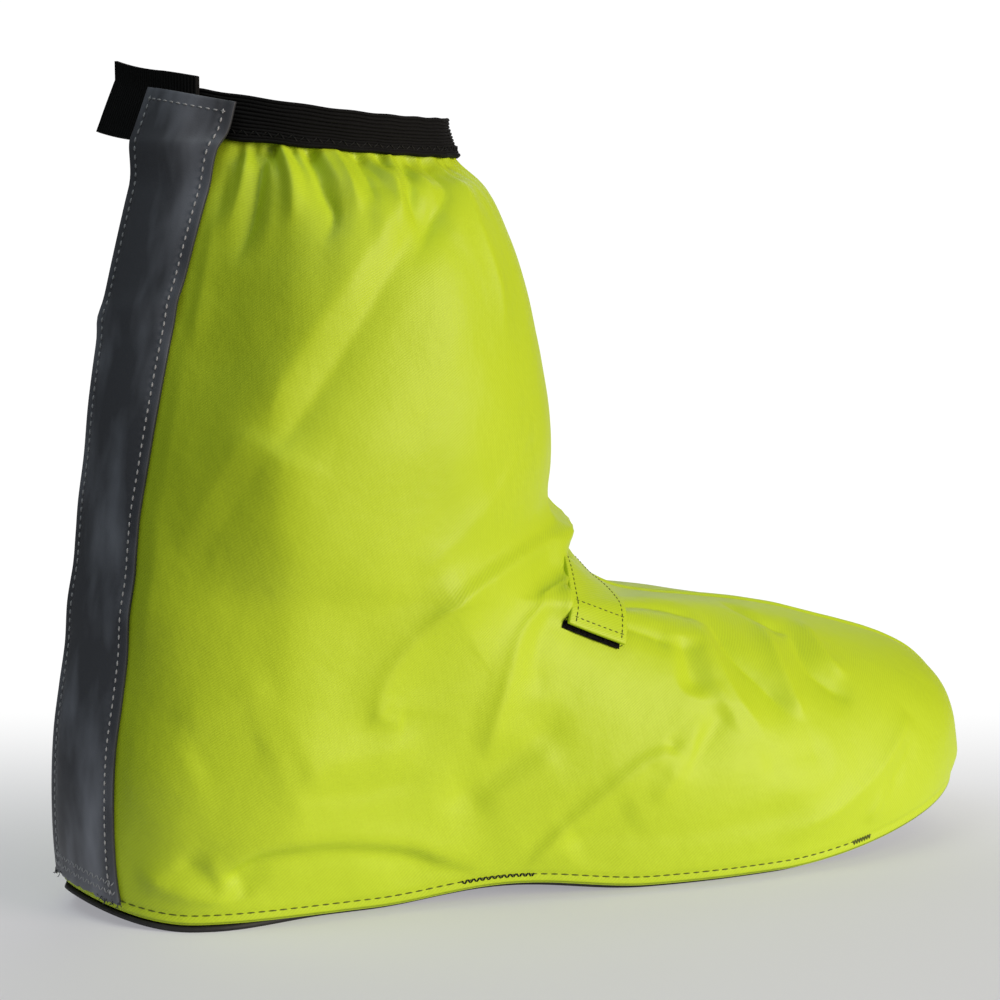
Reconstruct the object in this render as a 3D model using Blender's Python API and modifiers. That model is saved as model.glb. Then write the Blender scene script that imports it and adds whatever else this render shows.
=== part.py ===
"""Cycling overshoe: a right-foot rain cover of coated fabric, standing empty on its sole.

X runs from heel to toe, Z is up, and the outer side of the foot is at -Y. Sizes are in
millimetres, measured from the back of the heel on the floor, and become metres when a mesh is
made. The object's origin is on the floor under the flat spot of the heel.
"""
import math

import bpy
import numpy as np
from mathutils import Vector
from mathutils.bvhtree import BVHTree

MM = 0.001

# Driving sizes
LENGTH = 310.0
WALL = 1.0
GAP = 0.3
LAYER_GAP = 0.5
HEEL_SEAT_X = 52.0
SHARP_EDGE_DEG = 40.0

# Colour and roughness of each material
FINISHES = {
    "coated_fabric": ((0.52, 0.68, 0.03), 0.5),
    "rubberised_sheet": ((0.012, 0.012, 0.013), 0.7),
    "ribbed_elastic": ((0.006, 0.006, 0.007), 0.85),
    "fastener_webbing": ((0.008, 0.008, 0.009), 0.9),
    "reflective_tape": ((0.045, 0.05, 0.058), 0.4),
    "strap_fabric": ((0.50, 0.65, 0.03), 0.55),
    "hook_tape": ((0.008, 0.008, 0.008), 0.95),
}

# Sole profile: height of the underside above the floor
HEEL_BEVEL_RISE = 11.0
HEEL_FLAT = (38.0, 90.0)
ARCH_RISE = 3.5
FOREFOOT_FLAT = (178.0, 222.0)
TOE_SPRING = 16.0
TOE_SPRING_POWER = 1.6
SOLE_THICKNESS = 1.5
HEM_GAP = 0.5
SOLE_INSET_AT_HEEL = 0.6
SOLE_INSET_IN_FRONT = 6.0
SOLE_SLIPS_UNDER_X = (42.0, 80.0)
SOLE_OUTLINE_SAMPLES = 400
SOLE_ACROSS = 9
HEEL_BEVEL_STEPS = 8
HEEL_STEPS = 3
ARCH_STEPS = 12
FOREFOOT_STEPS = 5
TOE_STEPS = 14
TURNED_HEM_WIDTH = 12.0
CLEAT_WINDOW_X = (150.0, 246.0)
CLEAT_WINDOW_WIDTH = 50.0
CUTTER_Z = (-10.0, 30.0)
ROUND_END_STEPS = 12

# Plan curve of a right foot: the toe swings inwards, and the inner waist is hollower
TOE_SWING = 8.0
SWING_START_X = 150.0
INNER_WAIST_SHARE = 0.90

# The upper's sections, from hem to collar. Each is a loop in a plane through its back and front
# points. The four half widths stand at equal steps of angle round the loop's side. back says how
# round the back is, from 0 for a corner to 1, ridge how sharp the front is, and follow how far
# the loop keeps to the sole's profile.
SECTION_COLUMNS = (
    "back_x", "back_z", "front_x", "front_z", "heel", "waist", "ball", "toe", "back", "ridge", "follow",
)
SECTIONS = (
    (8, 0, 310, 0, 36, 40, 51, 39, 0.5, 0.0, 1.0),
    (7, 14, 311, 13, 38, 43, 54, 40, 0.5, 0.0, 1.0),
    (7, 32, 309, 30, 39, 44, 54, 38, 0.5, 0.1, 0.8),
    (8, 50, 301, 46, 39, 45, 50, 33, 0.5, 0.3, 0.5),
    (10, 66, 286, 60, 38, 46, 45, 26, 0.4, 0.5, 0.2),
    (12, 80, 266, 69, 37, 47, 41, 20, 0.4, 0.6, 0.0),
    (13, 92, 240, 77, 36, 48, 39, 17, 0.3, 0.7, 0.0),
    (15, 103, 212, 82, 34, 49, 41, 17, 0.3, 0.7, 0.0),
    (16, 112, 185, 85, 32, 50, 45, 20, 0.2, 0.6, 0.0),
    (17, 122, 168, 96, 30, 51, 48, 25, 0.2, 0.4, 0.0),
    (19, 135, 161, 114, 28, 52, 51, 29, 0.2, 0.2, 0.0),
    (21, 152, 160, 138, 25, 53, 54, 33, 0.2, 0.0, 0.0),
    (25, 175, 155, 165, 22, 52, 55, 34, 0.2, 0.0, 0.0),
    (31, 200, 148, 190, 19, 47, 52, 33, 0.2, 0.0, 0.0),
    (36, 218, 140, 210, 16, 39, 43, 28, 0.2, 0.0, 0.0),
    (40, 228, 130, 220, 13, 30, 33, 22, 0.3, 0.0, 0.0),
    (44, 239, 126, 229, 13, 30, 33, 22, 0.3, 0.0, 0.0),
)
TOP_LEVEL = len(SECTIONS) - 1
LEVELS_PER_ROW = 2
COLUMNS = 56
COLLAR_DIP = 2.0
COLLAR_DIP_LEVELS = 3
WIDTH_KNOTS = 5
TURN_STEP = 0.001
LEVEL_STEP = 0.02
BACK_EDGE_TURN = 0.004

# Collar elastic
ELASTIC_THICKNESS = 1.5
ELASTIC_FROM_LEVEL = 15.0
ELASTIC_ABOVE_EDGE = 2.5

# Reflective strip on the closing flap, and the fastener tab behind it
STRIP_WIDTH = 30.0
STRIP_OVERHANG = 3.0
STRIP_THICKNESS = 1.0
STRIP_FROM_LEVEL = 0.2
STRIP_LIFT_START_LEVEL = 13.6
STRIP_ACROSS = 7
FLAP_TURN_LIMIT = 0.4
FLAP_SAMPLES = 300
FLAP_EDGE_LENGTH = 4.0
TAB_THICKNESS = 1.5
TAB_INNER_REACH = 14.0
TAB_OUTER_REACH = 23.0
TAB_FROM_LEVEL = 14.6
TAB_ABOVE_EDGE = 5.5
TAB_ACROSS = 9
TAB_ROWS = 4

# Instep strap: a band between two planes that lean over the instep
STRAP_CREST = (160.6, 0.0, 95.9)
STRAP_LEAN_DEG = 28.0
STRAP_YAW_DEG = 9.0
STRAP_WIDTH = 20.0
STRAP_THICKNESS = 1.4
STRAP_CORE_DEPTH = 40.0
STRAP_OUTER_DEG = 60.0
STRAP_INNER_DEG = -70.0
STRAP_SEAT_LIFT = 1.0
STRAP_ALONG = 36
STRAP_ACROSS = 9
HOOK_TAPE_THICKNESS = 1.2
HOOK_TAPE_FROM_DEG = 38.0
HOOK_TAPE_PAST_END_DEG = 2.5
HOOK_TAPE_BACK_MARGIN = 1.5
HOOK_TAPE_FRONT_MARGIN = 0.5
HOOK_TAPE_ALONG = 12
STRAP_CLIMB_DEG = (5.0, 34.0)


def smooth_step(value, start, end):
    """0 before start, 1 after end, and a smooth rise between them."""
    t = np.clip((value - start) / (end - start), 0.0, 1.0)
    return t * t * (3.0 - 2.0 * t)


def sole_height(x):
    """Height of the sole's underside: heel bevel, flat heel, arch, flat forefoot, toe spring."""
    bevel = np.clip((HEEL_FLAT[0] - x) / HEEL_FLAT[0], 0.0, 1.0)
    arch = np.clip((x - HEEL_FLAT[1]) / (FOREFOOT_FLAT[0] - HEEL_FLAT[1]), 0.0, 1.0)
    spring = np.clip((x - FOREFOOT_FLAT[1]) / (LENGTH - FOREFOOT_FLAT[1]), 0.0, 1.2)
    toe = TOE_SPRING * spring**TOE_SPRING_POWER
    return HEEL_BEVEL_RISE * bevel**2 + ARCH_RISE * np.sin(math.pi * arch)**2 + toe


def sole_inset(x):
    """How far the sole's edge lies inside the hem: it shows at the heel only."""
    in_front = smooth_step(x, *SOLE_SLIPS_UNDER_X)
    return SOLE_INSET_AT_HEEL + (SOLE_INSET_IN_FRONT - SOLE_INSET_AT_HEEL) * in_front


def section_at(level):
    """The table's columns at a level, on a smooth curve through its rows."""
    rows = np.array(SECTIONS, dtype=float)
    rows = np.vstack([2 * rows[0] - rows[1], rows, 2 * rows[-1] - rows[-2]])
    index = int(min(max(math.floor(level), 0), TOP_LEVEL - 1))
    t = level - index
    before, start, end, after = rows[index:index + 4]
    values = 0.5 * (
        2 * start
        + (end - before) * t
        + (2 * before - 5 * start + 4 * end - after) * t**2
        + (3 * start - before - 3 * end + after) * t**3
    )
    return dict(zip(SECTION_COLUMNS, values))


def half_width(row, angle, waist_share):
    """Half width at an angle from the back, 0, to the front, pi."""
    step = math.pi / WIDTH_KNOTS
    knots = np.array([0.0, row["heel"], row["waist"] * waist_share, row["ball"], row["toe"], 0.0])
    slopes = np.zeros_like(knots)
    slopes[0] = row["back"] * row["heel"]
    slopes[1:-1] = (knots[2:] - knots[:-2]) / 2
    slopes[-1] = -(1.0 - row["ridge"]) * row["toe"]
    index = np.clip((angle / step).astype(int), 0, WIDTH_KNOTS - 1)
    t = angle / step - index
    return (
        knots[index] * (1 + 2 * t) * (1 - t)**2
        + slopes[index] * t * (1 - t)**2
        + knots[index + 1] * t**2 * (3 - 2 * t)
        + slopes[index + 1] * t**2 * (t - 1)
    )


def surface(level, turn):
    """Points of the upper's outer face. turn runs 0 to 1 from the back, outer side first."""
    turn = np.asarray(turn, dtype=float)
    row = section_at(level)
    outer = turn <= 0.5
    angle = 2 * math.pi * np.where(outer, turn, 1.0 - turn)
    along = (1.0 - np.cos(angle)) / 2
    x = row["back_x"] + (row["front_x"] - row["back_x"]) * along
    inner_waist = 1.0 - (1.0 - INNER_WAIST_SHARE) * np.clip(row["follow"], 0.0, 1.0)
    width = np.where(outer, -half_width(row, angle, 1.0), half_width(row, angle, inner_waist))
    swing = TOE_SWING * np.clip((x - SWING_START_X) / (LENGTH - SWING_START_X), 0.0, 1.0)**2
    follow = np.clip(row["follow"], 0.0, 1.0)
    z = row["back_z"] + (row["front_z"] - row["back_z"]) * along
    z = z + follow * (sole_height(x) + SOLE_THICKNESS + HEM_GAP)
    z = z - COLLAR_DIP * smooth_step(level, TOP_LEVEL - COLLAR_DIP_LEVELS, TOP_LEVEL) * np.sin(angle)**2
    return np.stack([x, width + swing, z], axis=-1)


def outward(level, turn):
    """Unit normals of the upper's outer face, taken on the outer side of the back edge."""
    turn = np.clip(np.asarray(turn, dtype=float), BACK_EDGE_TURN, 1.0 - BACK_EDGE_TURN)
    up = surface(min(level + LEVEL_STEP, TOP_LEVEL), turn) - surface(max(level - LEVEL_STEP, 0.0), turn)
    around = surface(level, turn + TURN_STEP) - surface(level, turn - TURN_STEP)
    normal = np.cross(around, up)
    return normal / np.linalg.norm(normal, axis=-1, keepdims=True)


def to_world(points):
    """Millimetres from the heel's back to metres from the origin."""
    return (np.asarray(points) - np.array([HEEL_SEAT_X, 0.0, 0.0])) * MM


def principled(name):
    """A plain material with the colour and roughness of a finish."""
    colour, roughness = FINISHES[name]
    material = bpy.data.materials.new(name)
    material.use_nodes = True
    shader = material.node_tree.nodes["Principled BSDF"]
    shader.inputs["Base Color"].default_value = (*colour, 1.0)
    shader.inputs["Roughness"].default_value = roughness
    shader.inputs["Metallic"].default_value = 0.0
    return material


def collection_named(name):
    """A new collection in the scene."""
    collection = bpy.data.collections.new(name)
    bpy.context.scene.collection.children.link(collection)
    return collection


def add_object(name, points, faces, material, collection):
    """A mesh object from points in millimetres, shaded smooth except at sharp edges."""
    mesh = bpy.data.meshes.new(name)
    mesh.from_pydata(to_world(points).tolist(), [], faces)
    mesh.materials.append(material)
    mesh.shade_smooth()
    mesh.set_sharp_from_angle(angle=math.radians(SHARP_EDGE_DEG))
    piece = bpy.data.objects.new(name, mesh)
    collection.objects.link(piece)
    return piece


def grid_faces(rows, columns, closed):
    """Quads of a grid of points, closed round its columns or open."""
    faces = []
    for r in range(rows - 1):
        for c in range(columns if closed else columns - 1):
            d = (c + 1) % columns
            faces.append((r * columns + c, r * columns + d, (r + 1) * columns + d, (r + 1) * columns + c))
    return faces


def slab(name, lower, upper, material, collection):
    """A closed sheet between two open grids of points of the same shape, upper face outwards."""
    rows, columns = lower.shape[:2]
    count = rows * columns
    top = grid_faces(rows, columns, False)
    faces = [tuple(i + count for i in face) for face in top]
    faces += [face[::-1] for face in top]
    rim = [c for c in range(columns)]
    rim += [r * columns + columns - 1 for r in range(1, rows)]
    rim += [(rows - 1) * columns + c for c in range(columns - 2, -1, -1)]
    rim += [r * columns for r in range(rows - 2, 0, -1)]
    for i, corner in enumerate(rim):
        following = rim[(i + 1) % len(rim)]
        faces.append((corner, following, following + count, corner + count))
    points = np.concatenate([lower.reshape(-1, 3), upper.reshape(-1, 3)])
    return add_object(name, points, faces, material, collection)


def add_wall(piece, thickness):
    """Give an open outer face its wall, on the inside."""
    wall = piece.modifiers.new("wall", "SOLIDIFY")
    wall.thickness = thickness * MM
    wall.offset = -1.0
    return piece


def hem_loop(turns, inset):
    """The hem's loop moved inwards in plan by a distance, or by one distance for each point."""
    loop = surface(0.0, turns)
    tangent = surface(0.0, (turns + TURN_STEP) % 1.0) - surface(0.0, (turns - TURN_STEP) % 1.0)
    inwards = np.stack([-tangent[:, 1], tangent[:, 0]], axis=-1)
    inwards = inwards / np.linalg.norm(inwards, axis=-1, keepdims=True)
    plan = loop[:, :2] + np.reshape(inset, (-1, 1)) * inwards
    height = sole_height(plan[:, 0]) + SOLE_THICKNESS + HEM_GAP
    return np.column_stack([plan, height])


def upper_loops():
    """The loops of the upper's outer face, from the turned-in hem to the top edge."""
    turns = np.arange(COLUMNS) / COLUMNS
    levels = np.linspace(0.0, TOP_LEVEL, TOP_LEVEL * LEVELS_PER_ROW + 1)
    hem = [hem_loop(turns, [TURNED_HEM_WIDTH * share]) for share in (1.0, 0.5)]
    return hem + [surface(level, turns) for level in levels]


def make_upper(collection):
    """Foot and shaft in one shell with a turned-in hem, open at the collar and underneath."""
    loops = upper_loops()
    yellow = principled("coated_fabric")
    faces = grid_faces(len(loops), COLUMNS, True)
    return add_wall(add_object("upper", np.concatenate(loops), faces, yellow, collection), WALL)


def sole_outline():
    """The sole's plan outline, from back to front: outer side, then inner side."""
    turns = np.linspace(0.0, 1.0, SOLE_OUTLINE_SAMPLES, endpoint=False)
    loop = hem_loop(turns, sole_inset(surface(0.0, turns)[:, 0]))[:, :2]
    loop = np.roll(loop, -int(np.argmin(loop[:, 0])), axis=0)
    front = int(np.argmax(loop[:, 0]))
    return loop[:front + 1], np.vstack([loop[front:], loop[:1]])[::-1]


def cleat_window_cutter(cutters):
    """An upright prism with round ends, the opening under the forefoot."""
    half = CLEAT_WINDOW_WIDTH / 2
    outline = []
    for centre, start in ((CLEAT_WINDOW_X[1] - half, -90.0), (CLEAT_WINDOW_X[0] + half, 90.0)):
        for i in range(ROUND_END_STEPS + 1):
            angle = math.radians(start + 180.0 * i / ROUND_END_STEPS)
            outline.append((centre + half * math.cos(angle), half * math.sin(angle)))
    count = len(outline)
    points = [(x, y, z) for z in CUTTER_Z for x, y in outline]
    faces = [tuple(reversed(range(count))), tuple(range(count, 2 * count))]
    faces += [(i, (i + 1) % count, (i + 1) % count + count, i + count) for i in range(count)]
    cutter = add_object("cleat_window_cutter", points, faces, None, cutters)
    cutter.hide_render = True
    cutter.display_type = "WIRE"
    return cutter


def sole_stations(back, front):
    """Places along the sole, closer together where its ends turn round."""
    bevel = back + (HEEL_FLAT[0] - back) * (np.arange(1, HEEL_BEVEL_STEPS) / HEEL_BEVEL_STEPS)**2
    heel = np.linspace(*HEEL_FLAT, HEEL_STEPS, endpoint=False)
    arch = np.linspace(HEEL_FLAT[1], FOREFOOT_FLAT[0], ARCH_STEPS, endpoint=False)
    forefoot = np.linspace(*FOREFOOT_FLAT, FOREFOOT_STEPS, endpoint=False)
    toe = front - (front - FOREFOOT_FLAT[1]) * (1.0 - np.arange(TOE_STEPS) / TOE_STEPS)**2
    return np.concatenate([bevel, heel, arch, forefoot, toe])


def make_sole(collection, cutters):
    """A thin sheet under the turned hem, flat at heel and forefoot, with the cleat window cut out."""
    outer, inner = sole_outline()
    stations = sole_stations(max(outer[0, 0], inner[0, 0]), min(outer[-1, 0], inner[-1, 0]))
    across = np.linspace(0.0, 1.0, SOLE_ACROSS)
    low = np.interp(stations, outer[:, 0], outer[:, 1])
    high = np.interp(stations, inner[:, 0], inner[:, 1])
    y = low[:, None] + (high - low)[:, None] * across[None, :]
    x = np.repeat(stations[:, None], len(across), axis=1)
    underside = np.stack([x, y, sole_height(x)], axis=-1)
    topside = underside + np.array([0.0, 0.0, SOLE_THICKNESS])
    sole = slab("sole", underside, topside, principled("rubberised_sheet"), collection)
    cut = sole.modifiers.new("cleat_window", "BOOLEAN")
    cut.object = cleat_window_cutter(cutters)
    cut.operation = "DIFFERENCE"
    return sole


def ring(name, lower, upper, material, collection):
    """A closed band between an inner and an outer grid that run all the way round."""
    rows, columns = lower.shape[:2]
    count = rows * columns
    skin = grid_faces(rows, columns, True)
    faces = [tuple(i + count for i in face) for face in skin]
    faces += [face[::-1] for face in skin]
    for row, flip in ((0, False), (rows - 1, True)):
        for c in range(columns):
            a, b = row * columns + c, row * columns + (c + 1) % columns
            face = (a, b, b + count, a + count)
            faces.append(face[::-1] if flip else face)
    points = np.concatenate([lower.reshape(-1, 3), upper.reshape(-1, 3)])
    return add_object(name, points, faces, material, collection)


def lifted(level, turn, lift, above=0.0):
    """Points a distance off the upper's outer face, or above its top edge."""
    return surface(level, turn) + lift * outward(level, turn) + np.array([0.0, 0.0, above])


def make_collar_elastic(collection):
    """The ribbed elastic round the top edge."""
    turns = np.arange(COLUMNS) / COLUMNS
    heights = [(level, 0.0) for level in np.linspace(ELASTIC_FROM_LEVEL, TOP_LEVEL, LEVELS_PER_ROW + 1)]
    heights.append((TOP_LEVEL, ELASTIC_ABOVE_EDGE))
    inside = np.array([lifted(level, turns, GAP, above) for level, above in heights])
    outside = np.array([lifted(level, turns, GAP + ELASTIC_THICKNESS, above) for level, above in heights])
    return ring("collar_elastic", inside, outside, principled("ribbed_elastic"), collection)


def flap_turns(level, distances):
    """Turns at given distances along the outer side of a section, from the back edge."""
    turns = np.linspace(0.0, FLAP_TURN_LIMIT, FLAP_SAMPLES)
    loop = surface(level, turns)
    steps = np.linalg.norm(np.diff(loop, axis=0), axis=-1)
    lengths = np.concatenate([[0.0], np.cumsum(steps)])
    return np.interp(distances, lengths, turns)


def flap_points(level, distances, lift, above=0.0):
    """Points on the closing flap's plane. Negative distances run straight on past the back edge."""
    distances = np.asarray(distances, dtype=float)
    turns = flap_turns(level, np.maximum(distances, 0.0))
    points = lifted(level, turns, lift, above)
    first, second = surface(level, flap_turns(level, [0.0, FLAP_EDGE_LENGTH]))
    backwards = (first - second) / np.linalg.norm(first - second)
    return points + np.maximum(-distances, 0.0)[:, None] * backwards


def make_collar_tab(collection):
    """The webbing tab that carries on past the strip at the top of the back."""
    distances = np.linspace(-TAB_OUTER_REACH, TAB_INNER_REACH, TAB_ACROSS)
    heights = [(level, 0.0) for level in np.linspace(TAB_FROM_LEVEL, TOP_LEVEL, TAB_ROWS)]
    heights.append((TOP_LEVEL, TAB_ABOVE_EDGE))
    seat = GAP + ELASTIC_THICKNESS + LAYER_GAP
    top = seat + TAB_THICKNESS
    inside = np.array([flap_points(level, distances, seat, above) for level, above in heights])
    outside = np.array([flap_points(level, distances, top, above) for level, above in heights])
    return slab("collar_tab", inside, outside, principled("fastener_webbing"), collection)


def make_reflective_strip(collection):
    """The stiff tape that covers the rear closure from heel to collar."""
    distances = np.linspace(-STRIP_OVERHANG, STRIP_WIDTH - STRIP_OVERHANG, STRIP_ACROSS)
    levels = np.linspace(STRIP_FROM_LEVEL, TOP_LEVEL, LEVELS_PER_ROW * TOP_LEVEL)
    top_lift = ELASTIC_THICKNESS + TAB_THICKNESS + 2 * LAYER_GAP
    inside, outside = [], []
    for level in levels:
        lift = GAP + top_lift * smooth_step(level, STRIP_LIFT_START_LEVEL, TAB_FROM_LEVEL)
        inside.append(flap_points(level, distances, lift))
        outside.append(flap_points(level, distances, lift + STRIP_THICKNESS))
    grey = principled("reflective_tape")
    return slab("reflective_strip", np.array(inside), np.array(outside), grey, collection)


def outer_face_tree():
    """A search tree over the upper's outer face, in millimetres."""
    loops = upper_loops()
    return BVHTree.FromPolygons(np.concatenate(loops).tolist(), grid_faces(len(loops), COLUMNS, True))


def strap_axes():
    """Core point, and directions across the strap, up to its crest and to its outer end."""
    lean, yaw = math.radians(STRAP_LEAN_DEG), math.radians(STRAP_YAW_DEG)
    level = np.array([math.cos(lean), 0.0, -math.sin(lean)])
    upward = np.array([math.sin(lean), 0.0, math.cos(lean)])
    outer_side = np.array([0.0, -1.0, 0.0])
    across = math.cos(yaw) * level - math.sin(yaw) * outer_side
    sideward = math.cos(yaw) * outer_side + math.sin(yaw) * level
    return np.array(STRAP_CREST) - STRAP_CORE_DEPTH * upward, across, upward, sideward


def strap_rays(degrees, upward, sideward):
    """Directions from the core line, turned from the crest towards the outer end."""
    angles = np.radians(degrees)[:, None]
    return upward * np.cos(angles) + sideward * np.sin(angles)


def instep_distances(tree, degrees, offsets):
    """Distances from the strap's core line out to the upper."""
    core, across, upward, sideward = strap_axes()
    distances = np.zeros((len(degrees), len(offsets)))
    for i, ray in enumerate(strap_rays(degrees, upward, sideward)):
        for j, offset in enumerate(offsets):
            distances[i, j] = tree.ray_cast(Vector(core + offset * across), Vector(ray))[3]
    return distances


def strap_points(degrees, offsets, distances):
    """Points at given distances from the strap's core line."""
    core, across, upward, sideward = strap_axes()
    starts = core + np.asarray(offsets)[:, None] * across
    rays = strap_rays(degrees, upward, sideward)
    return starts[None, :, :] + distances[:, :, None] * rays[:, None, :]


def cross_2d(first, second):
    """Cross product of vectors in a plane."""
    return first[..., 0] * second[..., 1] - first[..., 1] * second[..., 0]


def pulled_taut(degrees, distances):
    """Distances of a band pulled tight over the upper: the outer hull of each column of hits."""
    angles = np.radians(degrees)
    rays = np.stack([np.sin(angles), np.cos(angles)], axis=-1)
    taut = np.zeros_like(distances)
    for j, column in enumerate(distances.T):
        hull = []
        for hit in (rays * column[:, None])[np.argsort(angles)]:
            while len(hull) > 1 and cross_2d(hull[-1] - hull[-2], hit - hull[-2]) >= 0.0:
                hull.pop()
            hull.append(hit)
        hull = np.array(hull)
        place = np.searchsorted(np.arctan2(hull[:, 0], hull[:, 1]), angles, side="right")
        start = np.clip(place - 1, 0, len(hull) - 2)
        edge = hull[start + 1] - hull[start]
        taut[:, j] = cross_2d(hull[start], edge) / cross_2d(rays, edge)
    return taut


def make_instep_strap(tree, collection):
    """The strap over the instep, lifted over the hook tape at its outer end."""
    degrees = np.linspace(STRAP_OUTER_DEG, STRAP_INNER_DEG, STRAP_ALONG)
    offsets = np.linspace(-STRAP_WIDTH / 2, STRAP_WIDTH / 2, STRAP_ACROSS)
    over_tape = smooth_step(degrees, *STRAP_CLIMB_DEG)
    seat = STRAP_SEAT_LIFT + (HOOK_TAPE_THICKNESS + LAYER_GAP) * over_tape
    inside = pulled_taut(degrees, instep_distances(tree, degrees, offsets)) + seat[:, None]
    lower = strap_points(degrees, offsets, inside)
    upper = strap_points(degrees, offsets, inside + STRAP_THICKNESS)
    return slab("instep_strap", lower, upper, principled("strap_fabric"), collection)


def make_instep_hook_tape(tree, collection):
    """The black tape between the strap's outer end and the upper."""
    degrees = np.linspace(STRAP_OUTER_DEG + HOOK_TAPE_PAST_END_DEG, HOOK_TAPE_FROM_DEG, HOOK_TAPE_ALONG)
    edges = (-STRAP_WIDTH / 2 - HOOK_TAPE_BACK_MARGIN, STRAP_WIDTH / 2 - HOOK_TAPE_FRONT_MARGIN)
    offsets = np.linspace(*edges, STRAP_ACROSS)
    inside = instep_distances(tree, degrees, offsets) + STRAP_SEAT_LIFT
    lower = strap_points(degrees, offsets, inside)
    upper = strap_points(degrees, offsets, inside + HOOK_TAPE_THICKNESS)
    return slab("instep_hook_tape", lower, upper, principled("hook_tape"), collection)


def main():
    """Build every piece of the overshoe."""
    for stale in list(bpy.data.objects):
        bpy.data.objects.remove(stale, do_unlink=True)
    pieces = collection_named("cycling_overshoe")
    cutters = collection_named("cutters")
    make_upper(pieces)
    make_sole(pieces, cutters)
    make_collar_elastic(pieces)
    make_collar_tab(pieces)
    make_reflective_strip(pieces)
    tree = outer_face_tree()
    make_instep_strap(tree, pieces)
    make_instep_hook_tape(tree, pieces)


main()
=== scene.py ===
# %% [markdown]
# # A cycling overshoe
# This lesson dresses a plain solid model of a rain cover for a cycling shoe. The cover is a shell
# of bright coated twill, gathered into an elastic collar, with a reflective strip down the back,
# a strap over the instep and a thin black sole. We load the solid model first, so that every
# piece we make can be laid exactly where the solid model has it.

import math

import bpy
import numpy as np
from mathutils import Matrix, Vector, noise
from mathutils.bvhtree import BVHTree


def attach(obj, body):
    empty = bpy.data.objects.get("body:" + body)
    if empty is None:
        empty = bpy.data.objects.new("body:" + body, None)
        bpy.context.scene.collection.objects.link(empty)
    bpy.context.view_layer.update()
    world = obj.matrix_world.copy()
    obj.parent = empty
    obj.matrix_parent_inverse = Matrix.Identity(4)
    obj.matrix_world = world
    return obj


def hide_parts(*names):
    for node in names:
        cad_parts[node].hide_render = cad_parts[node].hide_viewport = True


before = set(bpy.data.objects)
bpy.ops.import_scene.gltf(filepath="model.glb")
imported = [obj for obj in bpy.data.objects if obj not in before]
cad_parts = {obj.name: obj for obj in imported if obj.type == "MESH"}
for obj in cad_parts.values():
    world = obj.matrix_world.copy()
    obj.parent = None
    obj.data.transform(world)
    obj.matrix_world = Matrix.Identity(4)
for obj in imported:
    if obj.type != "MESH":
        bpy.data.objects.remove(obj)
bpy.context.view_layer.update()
MM = 0.001

# %% [markdown]
# ## The shape of the last
# A shoe grows round a last, a foot-shaped form. Ours is a stack of loops from hem to collar. One
# row of the table gives a loop's back and front points and four half widths along its side. The
# solid model uses the same rows, so the fine cloth and the solid agree. All sizes are in
# millimetres, measured from the back of the heel on the floor.

# %% The last's sections
HEEL_SEAT_X = 52.0
LENGTH = 310.0
SECTION_COLUMNS = (
    "back_x", "back_z", "front_x", "front_z", "heel", "waist", "ball", "toe", "back", "ridge", "follow",
)
SECTIONS = np.array((
    (8, 0, 310, 0, 36, 40, 51, 39, 0.5, 0.0, 1.0),
    (7, 14, 311, 13, 38, 43, 54, 40, 0.5, 0.0, 1.0),
    (7, 32, 309, 30, 39, 44, 54, 38, 0.5, 0.1, 0.8),
    (8, 50, 301, 46, 39, 45, 50, 33, 0.5, 0.3, 0.5),
    (10, 66, 286, 60, 38, 46, 45, 26, 0.4, 0.5, 0.2),
    (12, 80, 266, 69, 37, 47, 41, 20, 0.4, 0.6, 0.0),
    (13, 92, 240, 77, 36, 48, 39, 17, 0.3, 0.7, 0.0),
    (15, 103, 212, 82, 34, 49, 41, 17, 0.3, 0.7, 0.0),
    (16, 112, 185, 85, 32, 50, 45, 20, 0.2, 0.6, 0.0),
    (17, 122, 168, 96, 30, 51, 48, 25, 0.2, 0.4, 0.0),
    (19, 135, 161, 114, 28, 52, 51, 29, 0.2, 0.2, 0.0),
    (21, 152, 160, 138, 25, 53, 54, 33, 0.2, 0.0, 0.0),
    (25, 175, 155, 165, 22, 52, 55, 34, 0.2, 0.0, 0.0),
    (31, 200, 148, 190, 19, 47, 52, 33, 0.2, 0.0, 0.0),
    (36, 218, 140, 210, 16, 39, 43, 28, 0.2, 0.0, 0.0),
    (40, 228, 130, 220, 13, 30, 33, 22, 0.3, 0.0, 0.0),
    (44, 239, 126, 229, 13, 30, 33, 22, 0.3, 0.0, 0.0),
))
TOP_LEVEL = len(SECTIONS) - 1
HEEL_BEVEL_RISE, HEEL_FLAT = 11.0, (38.0, 90.0)
ARCH_RISE, FOREFOOT_FLAT = 3.5, (178.0, 222.0)
TOE_SPRING, TOE_SPRING_POWER, TOE_SPRING_LIMIT = 16.0, 1.6, 1.2
SOLE_THICKNESS, HEM_GAP = 1.5, 0.5
TOE_SWING, SWING_START_X, INNER_WAIST_SHARE = 8.0, 150.0, 0.9
COLLAR_DIP, COLLAR_DIP_LEVELS, WIDTH_KNOTS = 2.0, 3, 5
print("sections:", len(SECTIONS), "from hem to collar")

# %% The last's surface
def smooth_step(value, start, end):
    """0 before start, 1 after end, and a smooth rise between them."""
    t = np.clip((np.asarray(value, dtype=float) - start) / (end - start), 0.0, 1.0)
    return t * t * (3.0 - 2.0 * t)


def plateau(value, rise, fall):
    """1 between a rise and a fall, each from a start to an end, and 0 outside them."""
    return smooth_step(value, *rise) * (1.0 - smooth_step(value, *fall))


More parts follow.
